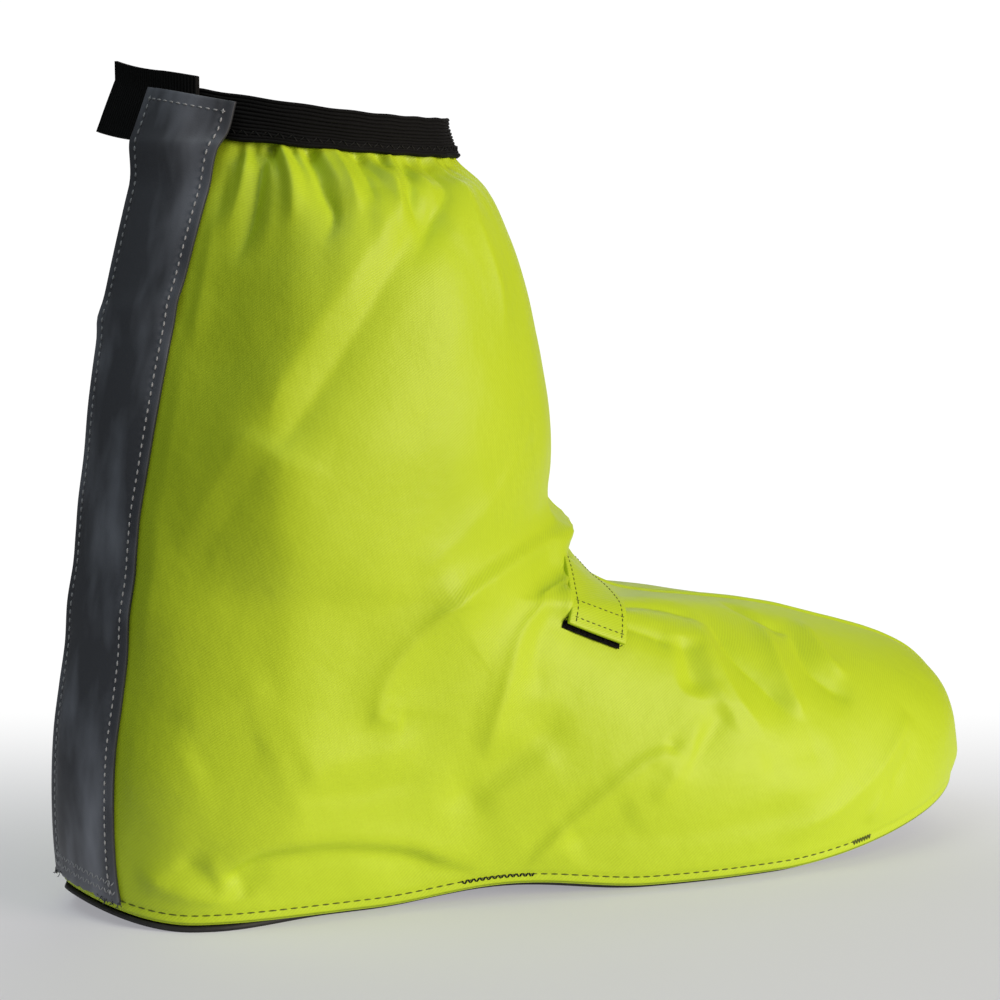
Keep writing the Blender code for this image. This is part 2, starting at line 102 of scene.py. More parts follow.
def sole_height(x):
    """Height of the sole's underside: heel bevel, flat heel, arch, flat forefoot, toe spring."""
    bevel = np.clip((HEEL_FLAT[0] - x) / HEEL_FLAT[0], 0.0, 1.0)
    arch = np.clip((x - HEEL_FLAT[1]) / (FOREFOOT_FLAT[0] - HEEL_FLAT[1]), 0.0, 1.0)
    spring = np.clip((x - FOREFOOT_FLAT[1]) / (LENGTH - FOREFOOT_FLAT[1]), 0.0, TOE_SPRING_LIMIT)
    toe = TOE_SPRING * spring**TOE_SPRING_POWER
    return HEEL_BEVEL_RISE * bevel**2 + ARCH_RISE * np.sin(math.pi * arch)**2 + toe


def smooth_curve(rows, place):
    """Values on a smooth curve through rows, at places counted in rows."""
    padded = np.vstack([2 * rows[0] - rows[1], rows, 2 * rows[-1] - rows[-2]])
    index = np.clip(np.floor(place).astype(int), 0, len(rows) - 2)
    t = (place - index)[..., None]
    before, start, end, after = (padded[index + k] for k in range(4))
    return 0.5 * (
        2 * start
        + (end - before) * t
        + (2 * before - 5 * start + 4 * end - after) * t**2
        + (3 * start - before - 3 * end + after) * t**3
    )


def section_at(level):
    """The table's columns at levels, on a smooth curve through its rows."""
    values = smooth_curve(SECTIONS, level)
    return {name: values[..., i] for i, name in enumerate(SECTION_COLUMNS)}


def half_width(row, angle, waist_share):
    """Half width at an angle from the back, 0, to the front, pi."""
    zero = np.zeros_like(row["heel"])
    knots = np.stack([zero, row["heel"], row["waist"] * waist_share, row["ball"], row["toe"], zero], -1)
    slopes = np.zeros_like(knots)
    slopes[..., 0] = row["back"] * row["heel"]
    slopes[..., 1:-1] = (knots[..., 2:] - knots[..., :-2]) / 2
    slopes[..., -1] = -(1.0 - row["ridge"]) * row["toe"]
    place = angle * WIDTH_KNOTS / math.pi
    index = np.clip(place.astype(int), 0, WIDTH_KNOTS - 1)
    t = place - index

    def at(values, shift):
        return np.take_along_axis(values, (index + shift)[..., None], -1)[..., 0]

    return (
        at(knots, 0) * (1 + 2 * t) * (1 - t)**2
        + at(slopes, 0) * t * (1 - t)**2
        + at(knots, 1) * t**2 * (3 - 2 * t)
        + at(slopes, 1) * t**2 * (t - 1)
    )


def surface(level, turn):
    """Points of the last. turn runs 0 to 1 from the back edge, outer side first."""
    level, turn = np.broadcast_arrays(np.asarray(level, dtype=float), np.asarray(turn, dtype=float))
    row = section_at(level)
    outer = turn <= 0.5
    angle = 2 * math.pi * np.where(outer, turn, 1.0 - turn)
    along = (1.0 - np.cos(angle)) / 2
    follow = np.clip(row["follow"], 0.0, 1.0)
    x = row["back_x"] + (row["front_x"] - row["back_x"]) * along
    inner_waist = 1.0 - (1.0 - INNER_WAIST_SHARE) * follow
    width = np.where(outer, -half_width(row, angle, 1.0), half_width(row, angle, inner_waist))
    swing = TOE_SWING * np.clip((x - SWING_START_X) / (LENGTH - SWING_START_X), 0.0, 1.0)**2
    z = row["back_z"] + (row["front_z"] - row["back_z"]) * along
    z = z + follow * (sole_height(x) + SOLE_THICKNESS + HEM_GAP)
    z = z - COLLAR_DIP * smooth_step(level, TOP_LEVEL - COLLAR_DIP_LEVELS, TOP_LEVEL) * np.sin(angle)**2
    return np.stack([x, width + swing, z], axis=-1)


print("front of the toe at", surface(1.0, 0.5).round(1))

# %% [markdown]
# ## Small helpers for meshes
# Every piece below is points in millimetres turned into one mesh object at the origin. Keeping
# the place in the mesh, and not in the object, lets a pattern on object coordinates stay put.
# Normals of a grid come from the cross product of its two directions.

# %% Mesh helpers
def to_world(points):
    """Millimetres from the heel's back to metres from the model's origin."""
    return (np.asarray(points, dtype=float) - np.array([HEEL_SEAT_X, 0.0, 0.0])) * MM


def unit(vectors):
    """Vectors of length one."""
    return vectors / np.maximum(np.linalg.norm(vectors, axis=-1, keepdims=True), 1e-9)


def lengths_along(points):
    """Length along a line from its first point to each of its points."""
    return np.concatenate([[0.0], np.cumsum(np.linalg.norm(np.diff(points, axis=0), axis=-1))])


def steps_round(points, axis=0):
    """Steps from the point before to the point after each point of closed loops."""
    return np.roll(points, -1, axis=axis) - np.roll(points, 1, axis=axis)


def add_mesh(name, points, faces, materials, edges=()):
    """A smooth mesh object from points in millimetres."""
    mesh = bpy.data.meshes.new(name)
    mesh.from_pydata(to_world(points).reshape(-1, 3).tolist(), list(edges), faces)
    for material in materials:
        mesh.materials.append(material)
    if faces:
        mesh.shade_smooth()
    piece = bpy.data.objects.new(name, mesh)
    bpy.context.scene.collection.objects.link(piece)
    return piece


def grid_faces(rows, columns, closed=False, closed_rows=False):
    """Quads of a grid of points, open or closed round its columns and its rows."""
    first = np.arange(rows if closed_rows else rows - 1)
    r, c = np.meshgrid(first, np.arange(columns if closed else columns - 1), indexing="ij")
    s, d = (r + 1) % rows, (c + 1) % columns
    quads = np.stack([r * columns + c, r * columns + d, s * columns + d, s * columns + c], -1)
    return quads.reshape(-1, 4)


def grid_normals(points, closed):
    """Unit normals of a grid of points, outwards where columns run round and rows run up."""
    around = steps_round(points, axis=1) if closed else np.gradient(points, axis=1)
    return unit(np.cross(around, np.gradient(points, axis=0)))


def search_tree(points):
    """A tree that finds the nearest place on a grid of points closed round its columns."""
    faces = grid_faces(*points.shape[:2], closed=True)
    return BVHTree.FromPolygons(points.reshape(-1, 3).tolist(), faces.tolist())


def add_wall(piece, thickness):
    """Thicken a sheet downwards by millimetres."""
    wall = piece.modifiers.new("wall", "SOLIDIFY")
    wall.thickness = thickness * MM
    wall.offset = -1.0
    return wall


def applied(piece):
    """The piece with its modifiers made into plain mesh."""
    graph = bpy.context.evaluated_depsgraph_get()
    mesh = bpy.data.meshes.new_from_object(piece.evaluated_get(graph), depsgraph=graph)
    piece.modifiers.clear()
    piece.data = mesh
    mesh.name = piece.name
    return piece


def add_uv(piece, corners):
    """A UV map in metres from one pair of millimetre values for each corner of each face."""
    layer = piece.data.uv_layers.new(name="cloth")
    layer.data.foreach_set("uv", (np.asarray(corners) * MM).astype(np.float32).ravel())


def settle(piece, node=None):
    """Tie a finished piece to the model, in the place of a solid where it stands for one."""
    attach(piece, "root")
    if node:
        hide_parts(node)
    print("piece", piece.name, len(piece.data.polygons), "faces")
    return piece


# %% [markdown]
# ## Shader helpers
# Materials are node trees. A few short helpers keep each finish readable: one adds a node and
# gives its inputs values or links, and others add noise, bands, a ramp of colours or a bump.

# %% Node helpers
def connect(tree, node, values):
    """Give a node's named or numbered inputs plain values, or links where the values are sockets."""
    for key, value in values.items():
        if isinstance(value, bpy.types.NodeSocket):
            tree.links.new(value, node.inputs[key])
        else:
            node.inputs[key].default_value = value
    return node


def add_node(tree, kind, values=None, **settings):
    """A node with its settings, and with values or links on its inputs."""
    made = tree.nodes.new(kind)
    for key, value in settings.items():
        setattr(made, key, value)
    return connect(tree, made, values or {})


def number_maths(tree, operation, *inputs):
    """Result of a maths node on sockets or numbers."""
    return add_node(tree, "ShaderNodeMath", dict(enumerate(inputs)), operation=operation).outputs[0]


def vector_maths(tree, operation, *inputs, output="Vector", **named):
    """Result of a vector maths node on sockets or vectors."""
    values = {**dict(enumerate(inputs)), **named}
    return add_node(tree, "ShaderNodeVectorMath", values, operation=operation).outputs[output]


# %% Shader helpers
WAVE_FACTOR = 20.0


def new_material(name, colour, roughness, specular=0.5):
    """A material with one Principled shader, and its tree and shader for adding patterns."""
    material = bpy.data.materials.new(name)
    material.use_nodes = True
    tree = material.node_tree
    shader = connect(tree, tree.nodes["Principled BSDF"], {
        "Base Color": (*colour, 1.0), "Roughness": roughness, "Specular IOR Level": specular})
    return material, tree, shader


def object_place(tree):
    """Coordinates of the object, in metres."""
    return add_node(tree, "ShaderNodeTexCoord").outputs["Object"]


def cloth_place(tree):
    """Coordinates of the cloth's own UV map, in metres."""
    return add_node(tree, "ShaderNodeUVMap", uv_map="cloth").outputs["UV"]


def cloth_bands(tree, coordinates, pitch, turn_deg):
    """A band pattern with a pitch in metres, turned on the cloth."""
    turned = add_node(tree, "ShaderNodeMapping", {
        "Vector": coordinates, "Rotation": (0.0, 0.0, math.radians(turn_deg))}).outputs["Vector"]
    scale = 2 * math.pi / WAVE_FACTOR / pitch
    return add_node(tree, "ShaderNodeTexWave", {"Vector": turned, "Scale": scale}).outputs["Fac"]


def add_noise(tree, coordinates, size, detail=2.0):
    """A noise pattern whose lumps have a size in metres."""
    values = {"Vector": coordinates, "Scale": 1.0 / size, "Detail": detail}
    return add_node(tree, "ShaderNodeTexNoise", values).outputs["Fac"]


def add_bump(tree, shader, height, distance, strength, under=None):
    """A bump of a height in metres on the shader, over another bump if one is given."""
    values = {"Strength": strength, "Distance": distance, "Height": height}
    if under:
        values["Normal"] = under
    bump = add_node(tree, "ShaderNodeBump", values).outputs["Normal"]
    connect(tree, shader, {"Normal": bump})
    return bump


def colour_ramp(tree, factor, low, high, start=0.0, end=1.0):
    """A colour between two colours as a factor goes from start to end."""
    ramp = add_node(tree, "ShaderNodeValToRGB", {"Fac": factor})
    for stop, place, colour in zip(ramp.color_ramp.elements, (start, end), (low, high)):
        stop.position = place
        stop.color = (*colour, 1.0)
    return ramp.outputs["Color"]


def value_range(tree, factor, low, high):
    """A number between two numbers as a factor goes from 0 to 1."""
    values = {"Value": factor, "To Min": low, "To Max": high}
    return add_node(tree, "ShaderNodeMapRange", values).outputs["Result"]


# %% [markdown]
# ## Coated twill
# The shell and the strap are a fluorescent rain fabric. Its twill runs in fine diagonal lines,
# under a thin satin coating. A weave this fine is bump and not geometry: a diagonal band
# pattern on the cloth's own UV map, crossed by a coarser one that breaks the lines into floats.
# The UV map is in metres, so the pitch is a real size. The colour is darkened in the weave's low
# lines, painted shade in the grooves of the twill.

# %% Coated twill
YELLOW, TWILL_ROUGHNESS, ROUGHNESS_DRIFT = (0.488, 0.640, 0.020), 0.52, 0.06
TWILL_PITCH, TWILL_TURN_DEG, TWILL_DEPTH = 0.00075, 52.0, 0.00006
FLOAT_PITCH, FLOAT_TURN_DEG, FLOAT_SHARE = 1.7 * TWILL_PITCH, TWILL_TURN_DEG - 70.0, 0.2
PAINTED_GROOVE_SHADE, DRIFT_TINT, WHITE = 0.92, (0.95, 0.96, 0.90), (1.0, 1.0, 1.0)
PATCH_SIZE, CRINKLE_SIZE, CRINKLE_DEPTH = 0.045, 0.008, 0.0007


def coated_twill(name):
    """Bright twill with a satin coating, slightly uneven in colour and gloss."""
    material, tree, shader = new_material(name, YELLOW, TWILL_ROUGHNESS, specular=0.3)
    cloth, place = cloth_place(tree), object_place(tree)
    twill = cloth_bands(tree, cloth, TWILL_PITCH, TWILL_TURN_DEG)
    floats = cloth_bands(tree, cloth, FLOAT_PITCH, FLOAT_TURN_DEG)
    weave = number_maths(tree, "MULTIPLY_ADD", floats, FLOAT_SHARE, twill)
    patches = add_noise(tree, place, PATCH_SIZE, detail=1.0)
    # painted shade: the colour darkens where the weave's bump is low
    shade = colour_ramp(tree, weave, [PAINTED_GROOVE_SHADE * c for c in YELLOW], YELLOW, start=0.1)
    drift = colour_ramp(tree, patches, DRIFT_TINT, WHITE, start=0.3, end=0.7)
    tint = add_node(tree, "ShaderNodeMix", {"Factor": 1.0, "A": shade, "B": drift},
                    data_type="RGBA", blend_type="MULTIPLY").outputs["Result"]
    gloss = value_range(
        tree, patches, TWILL_ROUGHNESS - ROUGHNESS_DRIFT, TWILL_ROUGHNESS + ROUGHNESS_DRIFT)
    crinkle = add_bump(tree, shader, add_noise(tree, place, CRINKLE_SIZE), CRINKLE_DEPTH, strength=0.5)
    add_bump(tree, shader, weave, TWILL_DEPTH, strength=0.5, under=crinkle)
    connect(tree, shader, {
        "Base Color": tint, "Roughness": gloss, "Coat Weight": 0.03, "Coat Roughness": 0.5})
    return material


FABRIC = coated_twill("coated_twill")
print("twill pitch", TWILL_PITCH / MM, "mm")

# %% [markdown]
# ## The bare back of the fabric
# Looking down into the collar one sees the fabric's back, which has a paler, dull film. A fine
# noise in bump and colour is enough, because it lies in shadow.

# %% Fabric back
FILM, DARK_FILM, PALE_FILM = (0.44, 0.52, 0.06), (0.36, 0.44, 0.05), (0.50, 0.58, 0.09)
FILM_GRAIN, FILM_DEPTH = 0.0012, 0.0001


def fabric_back():
    """The dull film on the inside of the shell."""
    material, tree, shader = new_material("fabric_back", FILM, roughness=0.75)
    grain = add_noise(tree, object_place(tree), FILM_GRAIN, detail=3.0)
    shade = colour_ramp(tree, grain, DARK_FILM, PALE_FILM, start=0.3, end=0.7)
    connect(tree, shader, {"Base Color": shade})
    add_bump(tree, shader, grain, FILM_DEPTH, strength=0.5)
    return material


LINING = fabric_back()
print("film grain", FILM_GRAIN / MM, "mm")

# %% [markdown]
# ## The fine cloth grid
# The cloth follows the last on a grid about one millimetre wide. Columns are spaced by length
# along each loop, with extra ones at the front seam, and rows by the longest way up the shoe.
# The bottom rows turn round a small hem radius and run in under the foot.

# %% Cloth grid
OUTER_COLUMNS, INNER_COLUMNS = 300, 120
SEAM_COLUMNS = np.array((0.0, 0.5, 1.0, 1.6, 2.2, 2.8, 3.4, 4.4))
HALF_SAMPLES = 500
HEM_RADIUS, TURNED_HEM_WIDTH = 1.2, 12.0
HEM_ROWS, HEM_TOP_LEVEL, CLOTH_ROWS = 12, 0.6, 190
LEVEL_SAMPLES, WAY_TURNS = 800, np.linspace(0.1, 0.5, 9)
EASE_PASSES, EASE_SHARE, EASED_FROM, EASED_TO = 40, 0.5, (1.0, 3.0), (12.5, 14.0)


def half_turns(level, count, inner):
    """Turns along half a loop, from back to front, evenly spaced by length but close at the seam."""
    turns = np.linspace(0.0, 0.5, HALF_SAMPLES)
    lengths = lengths_along(surface(level, 1.0 - turns if inner else turns))
    even = np.linspace(0.0, lengths[-1] - SEAM_COLUMNS[-1], count - len(SEAM_COLUMNS) + 1)
    places = np.concatenate([even, lengths[-1] - SEAM_COLUMNS[-2::-1]])
    return np.interp(places, lengths, turns), places


def loop_turns(level):
    """Turns all the way round a loop, and the length from the back edge at each."""
    outer, outer_places = half_turns(level, OUTER_COLUMNS, False)
    inner, inner_places = half_turns(level, INNER_COLUMNS, True)
    around = outer_places[-1] + inner_places[-1]
    turns = np.concatenate([outer, 1.0 - inner[-2:0:-1]])
    places = np.concatenate([outer_places, around - inner_places[-2:0:-1], [around]])
    return turns, places


def row_levels():
    """Levels of the cloth's rows, close at the hem, then even along the ways up the shoe."""
    fine = np.linspace(HEM_TOP_LEVEL, TOP_LEVEL, LEVEL_SAMPLES)
    ways = np.array([surface(level, WAY_TURNS) for level in fine])
    steps = np.linalg.norm(np.diff(ways, axis=0), axis=-1)
    lengths = np.concatenate([[0.0], np.cumsum((steps.max(axis=1) + steps.mean(axis=1)) / 2)])
    even = np.interp(np.linspace(0.0, lengths[-1], CLOTH_ROWS), lengths, fine)
    return np.concatenate([np.linspace(0.0, HEM_TOP_LEVEL, HEM_ROWS, endpoint=False), even])


def eased(points):
    """Points smoothed along the rows between hem and collar, so that no section shows as a line."""
    weight = plateau(LEVELS, EASED_FROM, EASED_TO)
    for _ in range(EASE_PASSES):
        middle = (points[:-2] + points[2:]) / 2
        points[1:-1] += EASE_SHARE * weight[1:-1, None, None] * (middle - points[1:-1])
    return points


LEVELS = row_levels()
TURNS, PLACES = (np.array(part) for part in zip(*(loop_turns(level) for level in LEVELS)))
LAST = eased(surface(LEVELS[:, None], TURNS))
COLUMNS = TURNS.shape[1]
print("cloth grid", LAST.shape[:2], "longest loop", PLACES[:, -1].max().round(), "mm")

# %% [markdown]
# ## Folds placed one by one
# A stuffed rain cover hangs in a few big folds: a roll round the front of the ankle, a long
# diagonal from the collar, pulls from the two bar tacks at the hem, and dimples over the toes.
# Each row below is one soft ridge or trough: its height, its widths to the left and right of its
# path as seen from outside, and its path of points near the last. A fold with unequal widths has
# one crisp side and one that runs out slowly, as pulled cloth has. The inner side isn't seen in
# the reference, so it gets milder folds of the same kinds.

# %% Fold table
# height, left width, right width, then the path from its start to its end
# the roll and the lips round the front of the ankle, and the hollows over the arch
ANKLE_FOLDS = (
    (-2.4, 5, 4, (155, 20, 120), (158, 10, 121), (159, 0, 121), (158, -10, 118), (153, -20, 114)),
    (5, 6, 6.5, (150, 32, 100), (160, 18, 106), (165, 4, 109), (165, -8, 109), (158, -20, 106),
     (148, -30, 101)),
    (3, 13, 4, (162, 4, 108), (154, -22, 107), (140, -35, 105), (128, -43, 101), (111, -48, 94),
     (100, -48, 84)),
    (2.2, 12, 5, (122, -45, 99), (111, -48, 94), (100, -48, 84), (93, -47, 76), (89, -46, 66),
     (88, -45, 58)),
    (-1.2, 3, 7, (162, 0, 114), (157, -16, 111), (142, -32, 109), (125, -45, 105), (108, -49, 97)),
    (1, 3, 3, (87, -45, 65), (92, -45, 61), (98, -45, 60)),
    (1.9, 9, 2.8, (160, -18, 98), (153, -29, 93), (136, -44, 84), (129, -47, 67), (125, -46, 53),
     (124, -45, 44)),
    (-1.2, 6, 6, (148, -38, 90), (140, -45, 77), (141, -47, 62)),
    (-2, 9, 8, (151, -48, 58), (137, -47, 48), (123, -45, 38), (108, -44, 30)),
    (1.2, 7, 6, (148, -48, 48), (134, -47, 38), (120, -45, 30)),
    (0.9, 7, 7, (32, -35, 62), (46, -40, 68), (60, -44, 75)),
    (-0.9, 10, 10, (36, -38, 49), (47, -41, 53), (58, -43, 57)),
    (3.2, 3.5, 4.5, (157, -18, 104), (155, -24, 98), (154, -28, 95), (153, -32, 93), (152, -35, 90),
     (152, -39, 87), (151, -43, 83)),
    (1.2, 9, 8, (64, -44, 46), (78, -44, 50), (106, -45, 52)),
    (-0.9, 5, 5, (64, -44, 41), (82, -44, 40), (108, -44, 42)),
    (-2.4, 5, 5, (164, 2, 120), (158, 20, 112), (138, 38, 102), (120, 46, 96), (104, 47, 84)),
    (2.4, 5, 9, (160, 18, 105), (142, 36, 96), (122, 46, 86), (106, 47, 76)),
)
# the long diagonals and the changes of plane on the shaft
SHAFT_FOLDS = (
    (1.7, 6, 9, (99, -44, 212), (95, -48, 206), (76, -53, 182), (62, -49, 159), (58, -48, 145)),
    (6.5, 34, 26, (62, -49, 172), (63, -48, 120), (64, -45, 62), (65, -42, 5)),
    (-2.8, 9, 6.5, (112, -43, 209), (105, -47, 204), (95, -53, 193), (78, -55, 168), (64, -51, 146),
     (60, -49, 138)),
    (0.5, 6, 6, (59, -47, 154), (45, -39, 129), (35, -34, 110)),
    (-0.5, 6, 6, (63, -50, 147), (51, -44, 126), (37, -36, 103)),
    (0.9, 5, 5, (51, -24, 210), (46, -27, 190), (41, -29, 165)),
    (1.6, 9, 4, (118, -30, 217), (121, -35, 212), (124, -42, 199), (128, -44, 185), (132, -45, 163)),
    (0.9, 12, 4, (146, -34, 146), (118, -49, 117), (98, -51, 102)),
    (-0.9, 8, 8, (150, -30, 141), (135, -44, 133), (120, -50, 126)),
    (1.6, 6, 10, (118, 32, 212), (100, 52, 190), (82, 55, 170), (66, 50, 150)),
    (-1.8, 10, 8, (92, 51, 204), (78, 52, 184), (62, 46, 166)),
    (1.6, 8, 6, (76, 52, 138), (72, 49, 112), (70, 46, 84)),
    (-1.8, 8, 9, (56, 47, 134), (54, 44, 106), (56, 42, 80)),
)
# the long gathers of the outer side, and the ridges between them
GATHER_FOLDS = (
    (-1.6, 2.5, 2.5, (57, -16, 232), (55, -20, 224), (53, -24, 214), (49, -26, 200)),
    (-1, 2, 2, (60, -20, 230), (59, -23, 224), (57, -26, 217)),
    (-2.6, 2.5, 3, (66, -23, 231), (64, -28, 222), (60, -32, 214), (57, -34, 203), (52, -33, 189)),
    (-2, 2.2, 2.6, (74, -27, 231), (75, -34, 221), (76, -42, 213), (78, -47, 205), (73, -48, 196)),
    (-2.2, 2, 2.4, (88, -27, 231), (89, -35, 221), (90, -42, 214), (90, -48, 206)),
    (-1.5, 1.8, 1.8, (95, -28, 229), (96, -34, 221), (100, -38, 216)),
    (-2.2, 2, 2.4, (105, -26, 229), (104, -34, 219), (102, -45, 209), (103, -49, 202)),
    (-2.6, 2.6, 3.6, (110, -22, 230), (112, -30, 220), (115, -37, 213), (112, -43, 208), (106, -49, 201),
     (96, -54, 187)),
    (-1, 2.5, 2.5, (121, -18, 226), (121, -25, 218), (120, -38, 209)),
    (1, 2.5, 2.5, (62, -20, 231), (60, -25, 223), (56, -29, 212), (52, -30, 199)),
    (1.3, 3, 3, (71, -25, 231), (70, -32, 222), (69, -39, 212), (67, -42, 200)),
    (1.5, 2.5, 2.2, (82, -27, 231), (84, -35, 221), (85, -44, 212), (85, -49, 204)),
    (1.5, 2.5, 2.2, (99, -27, 229), (99, -34, 220), (98, -44, 212), (97, -51, 200)),
)
# the long arc over the heel and the puckers behind it
HEEL_FOLDS = (
    (1.7, 8, 2.2, (44, -40, 17), (48, -41, 21), (55, -42, 25), (65, -43, 26), (78, -43, 25), (98, -43, 22),
     (113, -43, 16), (130, -43, 9)),
    (-2, 2.6, 7, (46, -41, 14), (50, -41, 18), (56, -42, 21), (65, -43, 22), (79, -43, 22), (98, -42, 18),
     (113, -42, 12), (128, -42, 6)),
    (-1.4, 4.5, 5, (33, -36, 24), (36, -38, 21), (39, -39, 18), (42, -40, 14), (44, -40, 10)),
    (1.2, 4, 4, (41, -39, 24), (42, -40, 21), (44, -40, 16), (45, -40, 10)),
    (-1.6, 4, 4, (47, -41, 20), (50, -41, 15), (53, -41, 10)),
    (1.7, 3.6, 3.6, (22, -28, 18), (28, -33, 15), (33, -36, 13), (40, -39, 11), (54, -41, 9)),
    (-1.6, 5, 5, (36, 37, 24), (46, 40, 15)),
    (1.3, 5, 5, (24, 28, 17), (34, 35, 13)),
    (-1.4, 7, 4, (52, 40, 30), (78, 41, 34), (104, 40, 27)),
)
# the creases in front of the strap and the dimples over the toes
INSTEP_FOLDS = (
    (-1.9, 2.5, 4, (168, -28, 88), (174, -29, 86), (185, -25, 84), (196, -24, 81), (208, -27, 75)),
    (-1.5, 3, 3, (166, -37, 82), (178, -37, 78), (189, -37, 73)),
    (-2, 5, 5, (193, -34, 76), (193, -39, 71), (193, -43, 65), (194, -46, 58)),
    (0.8, 3, 3, (187, -36, 75), (187, -40, 71), (186, -45, 63), (192, -46, 58), (203, -46, 55),
     (210, -46, 53)),
    (0.9, 3.5, 3.5, (199, -33, 74), (199, -38, 70), (200, -44, 60), (204, -48, 51), (208, -50, 45)),
    (1.7, 5, 3.5, (200, -22, 80), (202, -37, 68), (206, -44, 57), (216, -49, 43)),
    (-2.3, 4, 4.5, (206, -16, 81), (210, -34, 69), (218, -40, 60), (228, -45, 47)),
    (1.8, 3.5, 3, (228, -14, 76), (227, -32, 66), (228, -40, 56), (231, -45, 47)),
    (-2.1, 4, 4.5, (240, -10, 74), (239, -30, 63), (245, -35, 56), (254, -36, 50)),
    (1.4, 3, 3, (246, -8, 73), (247, -24, 64), (253, -31, 56)),
    (-1.4, 2, 2, (218, -8, 80), (229, -17, 75), (239, -20, 70)),
    (-1.4, 6, 6, (188, 40, 72), (196, 48, 58)),
    (-1.2, 5, 6, (214, 30, 74), (226, 46, 60), (236, 49, 46)),
)
# the pulls from the two bar tacks, and the sides of the forefoot
FOOT_FOLDS = (
    (1.6, 7, 1.5, (188, -50, 48), (185, -51, 44), (173, -51, 41), (156, -50, 29), (143, -47, 17),
     (136, -44, 7)),
    (-1.3, 2.6, 2.6, (180, -51, 47), (184, -51, 44), (188, -51, 42)),
    (-1.2, 8, 8, (171, -51, 29), (159, -50, 22), (148, -48, 16)),
    (-1.6, 5, 5, (205, -45, 57), (198, -49, 50), (192, -51, 44), (183, -52, 34)),
    (1.2, 4, 4, (196, -47, 56), (188, -51, 45), (181, -52, 35), (174, -52, 27)),
    (-0.8, 4, 4, (211, -51, 36), (224, -49, 38), (240, -46, 38)),
    (1.6, 3.5, 3, (276, -33, 45), (271, -36, 40), (259, -43, 30), (247, -47, 23), (234, -50, 17),
     (218, -52, 13)),
    (-1, 3, 3, (277, -35, 38), (267, -41, 28), (258, -44, 18)),
    (1, 2.6, 2.6, (265, -42, 26), (258, -44, 20), (252, -45, 12)),
    (-1.3, 7, 8, (122, -44, 16), (156, -49, 19), (187, -53, 18), (215, -52, 20), (236, -49, 22)),
    (0.8, 6, 6, (292, -24, 23), (304, -10, 25), (309, 8, 26), (304, 24, 26)),
    (-1.1, 6, 8, (186, 52, 48), (164, 50, 32), (146, 45, 12)),
    (1, 5, 5, (276, 44, 42), (268, 50, 26), (258, 51, 11)),
    (-1.6, 9, 9, (152, 46, 60), (138, 46, 46), (120, 42, 34)),
)
GATHER_START_ABOVE = 7.0


def from_under_elastic(height, left_width, right_width, start, *rest):
    """A gather whose path starts higher, so that it comes out from under the elastic at full depth."""
    x, y, z = start
    return height, left_width, right_width, (x, y, z + GATHER_START_ABOVE), start, *rest


GATHERS = tuple(from_under_elastic(*fold) for fold in GATHER_FOLDS)
FOLDS = ANKLE_FOLDS + SHAFT_FOLDS + GATHERS + HEEL_FOLDS + INSTEP_FOLDS + FOOT_FOLDS
print(len(FOLDS), "folds")

# %% Folds on the cloth
FOLD_SAMPLES, FOLD_FADE, FOLD_REACH = 30, 0.25, 2.6
CREST_RADIUS, CREST_SHARE, CREST_BLEND = 1.0, 0.25, 1.5
FOLD_FALL_RATE, FOLD_TAPER_FROM = 1.2, 1.2
LAST_TREE = search_tree(LAST)


def path_on_last(places):
    """A smooth curve through places near the last, laid onto it."""
    samples = np.linspace(0.0, len(places) - 1, FOLD_SAMPLES)
    curve = smooth_curve(np.array(places, dtype=float), samples)
    return np.array([LAST_TREE.find_nearest(point)[0] for point in curve])


def nearest_on_path(points, path):
    """For each point: offset from the nearest place on a path, the path's direction and share there."""
    start, step = path[:-1], np.diff(path, axis=0)
    along = np.einsum("pk,sk->ps", points, step) - np.einsum("sk,sk->s", start, step)
    along = np.clip(along / np.einsum("sk,sk->s", step, step), 0.0, 1.0)
    offsets = points[:, None, :] - start - along[..., None] * step
    best = np.einsum("psk,psk->ps", offsets, offsets).argmin(axis=1)
    rows = np.arange(len(points))
    return offsets[rows, best], unit(step)[best], (best + along[rows, best]) / len(step)


def fold_height(points, normals, fold):
    """How far one fold lifts each point of the cloth."""
    height, left_width, right_width, *places = fold
    path = path_on_last(places)
    reach = FOLD_REACH * max(left_width, right_width)
    close = np.all((points > path.min(axis=0) - reach) & (points < path.max(axis=0) + reach), axis=1)
    offset, tangent, share = nearest_on_path(points[close], path)
    side = np.einsum("pk,pk->p", np.cross(normals[close], tangent), offset)
    width = right_width + (left_width - right_width) * smooth_step(side, -CREST_BLEND, CREST_BLEND)
    fade = smooth_step(share, 0.0, FOLD_FADE) * smooth_step(1.0 - share, 0.0, FOLD_FADE)
    crest = max(CREST_RADIUS, CREST_SHARE * min(left_width, right_width))
    fall = (np.hypot(np.linalg.norm(offset, axis=-1), crest) - crest) / width
    taper = 1.0 - smooth_step(fall, FOLD_TAPER_FROM, FOLD_REACH)
    lifted = np.zeros(len(points))
    lifted[close] = height * fade * np.exp(-FOLD_FALL_RATE * fall) * taper
    return lifted


cloth_points = LAST.reshape(-1, 3)
cloth_normals = grid_normals(LAST, True).reshape(-1, 3)
folds = sum(fold_height(cloth_points, cloth_normals, fold) for fold in FOLDS).reshape(LAST.shape[:2])
print("folds from", folds.min().round(1), "to", folds.max().round(1), "mm")

# %% [markdown]
# ## Gathers under the elastic
# The stretched elastic pulls the wide top edge into puckers. The table has the long ones of the
# outer side. The others are a rule, not a drawing: at uneven steps a pucker starts at the elastic
# and fades out downwards. A fixed seed makes the same puckers each time. A low noise over the
# whole cloth keeps it from looking moulded.

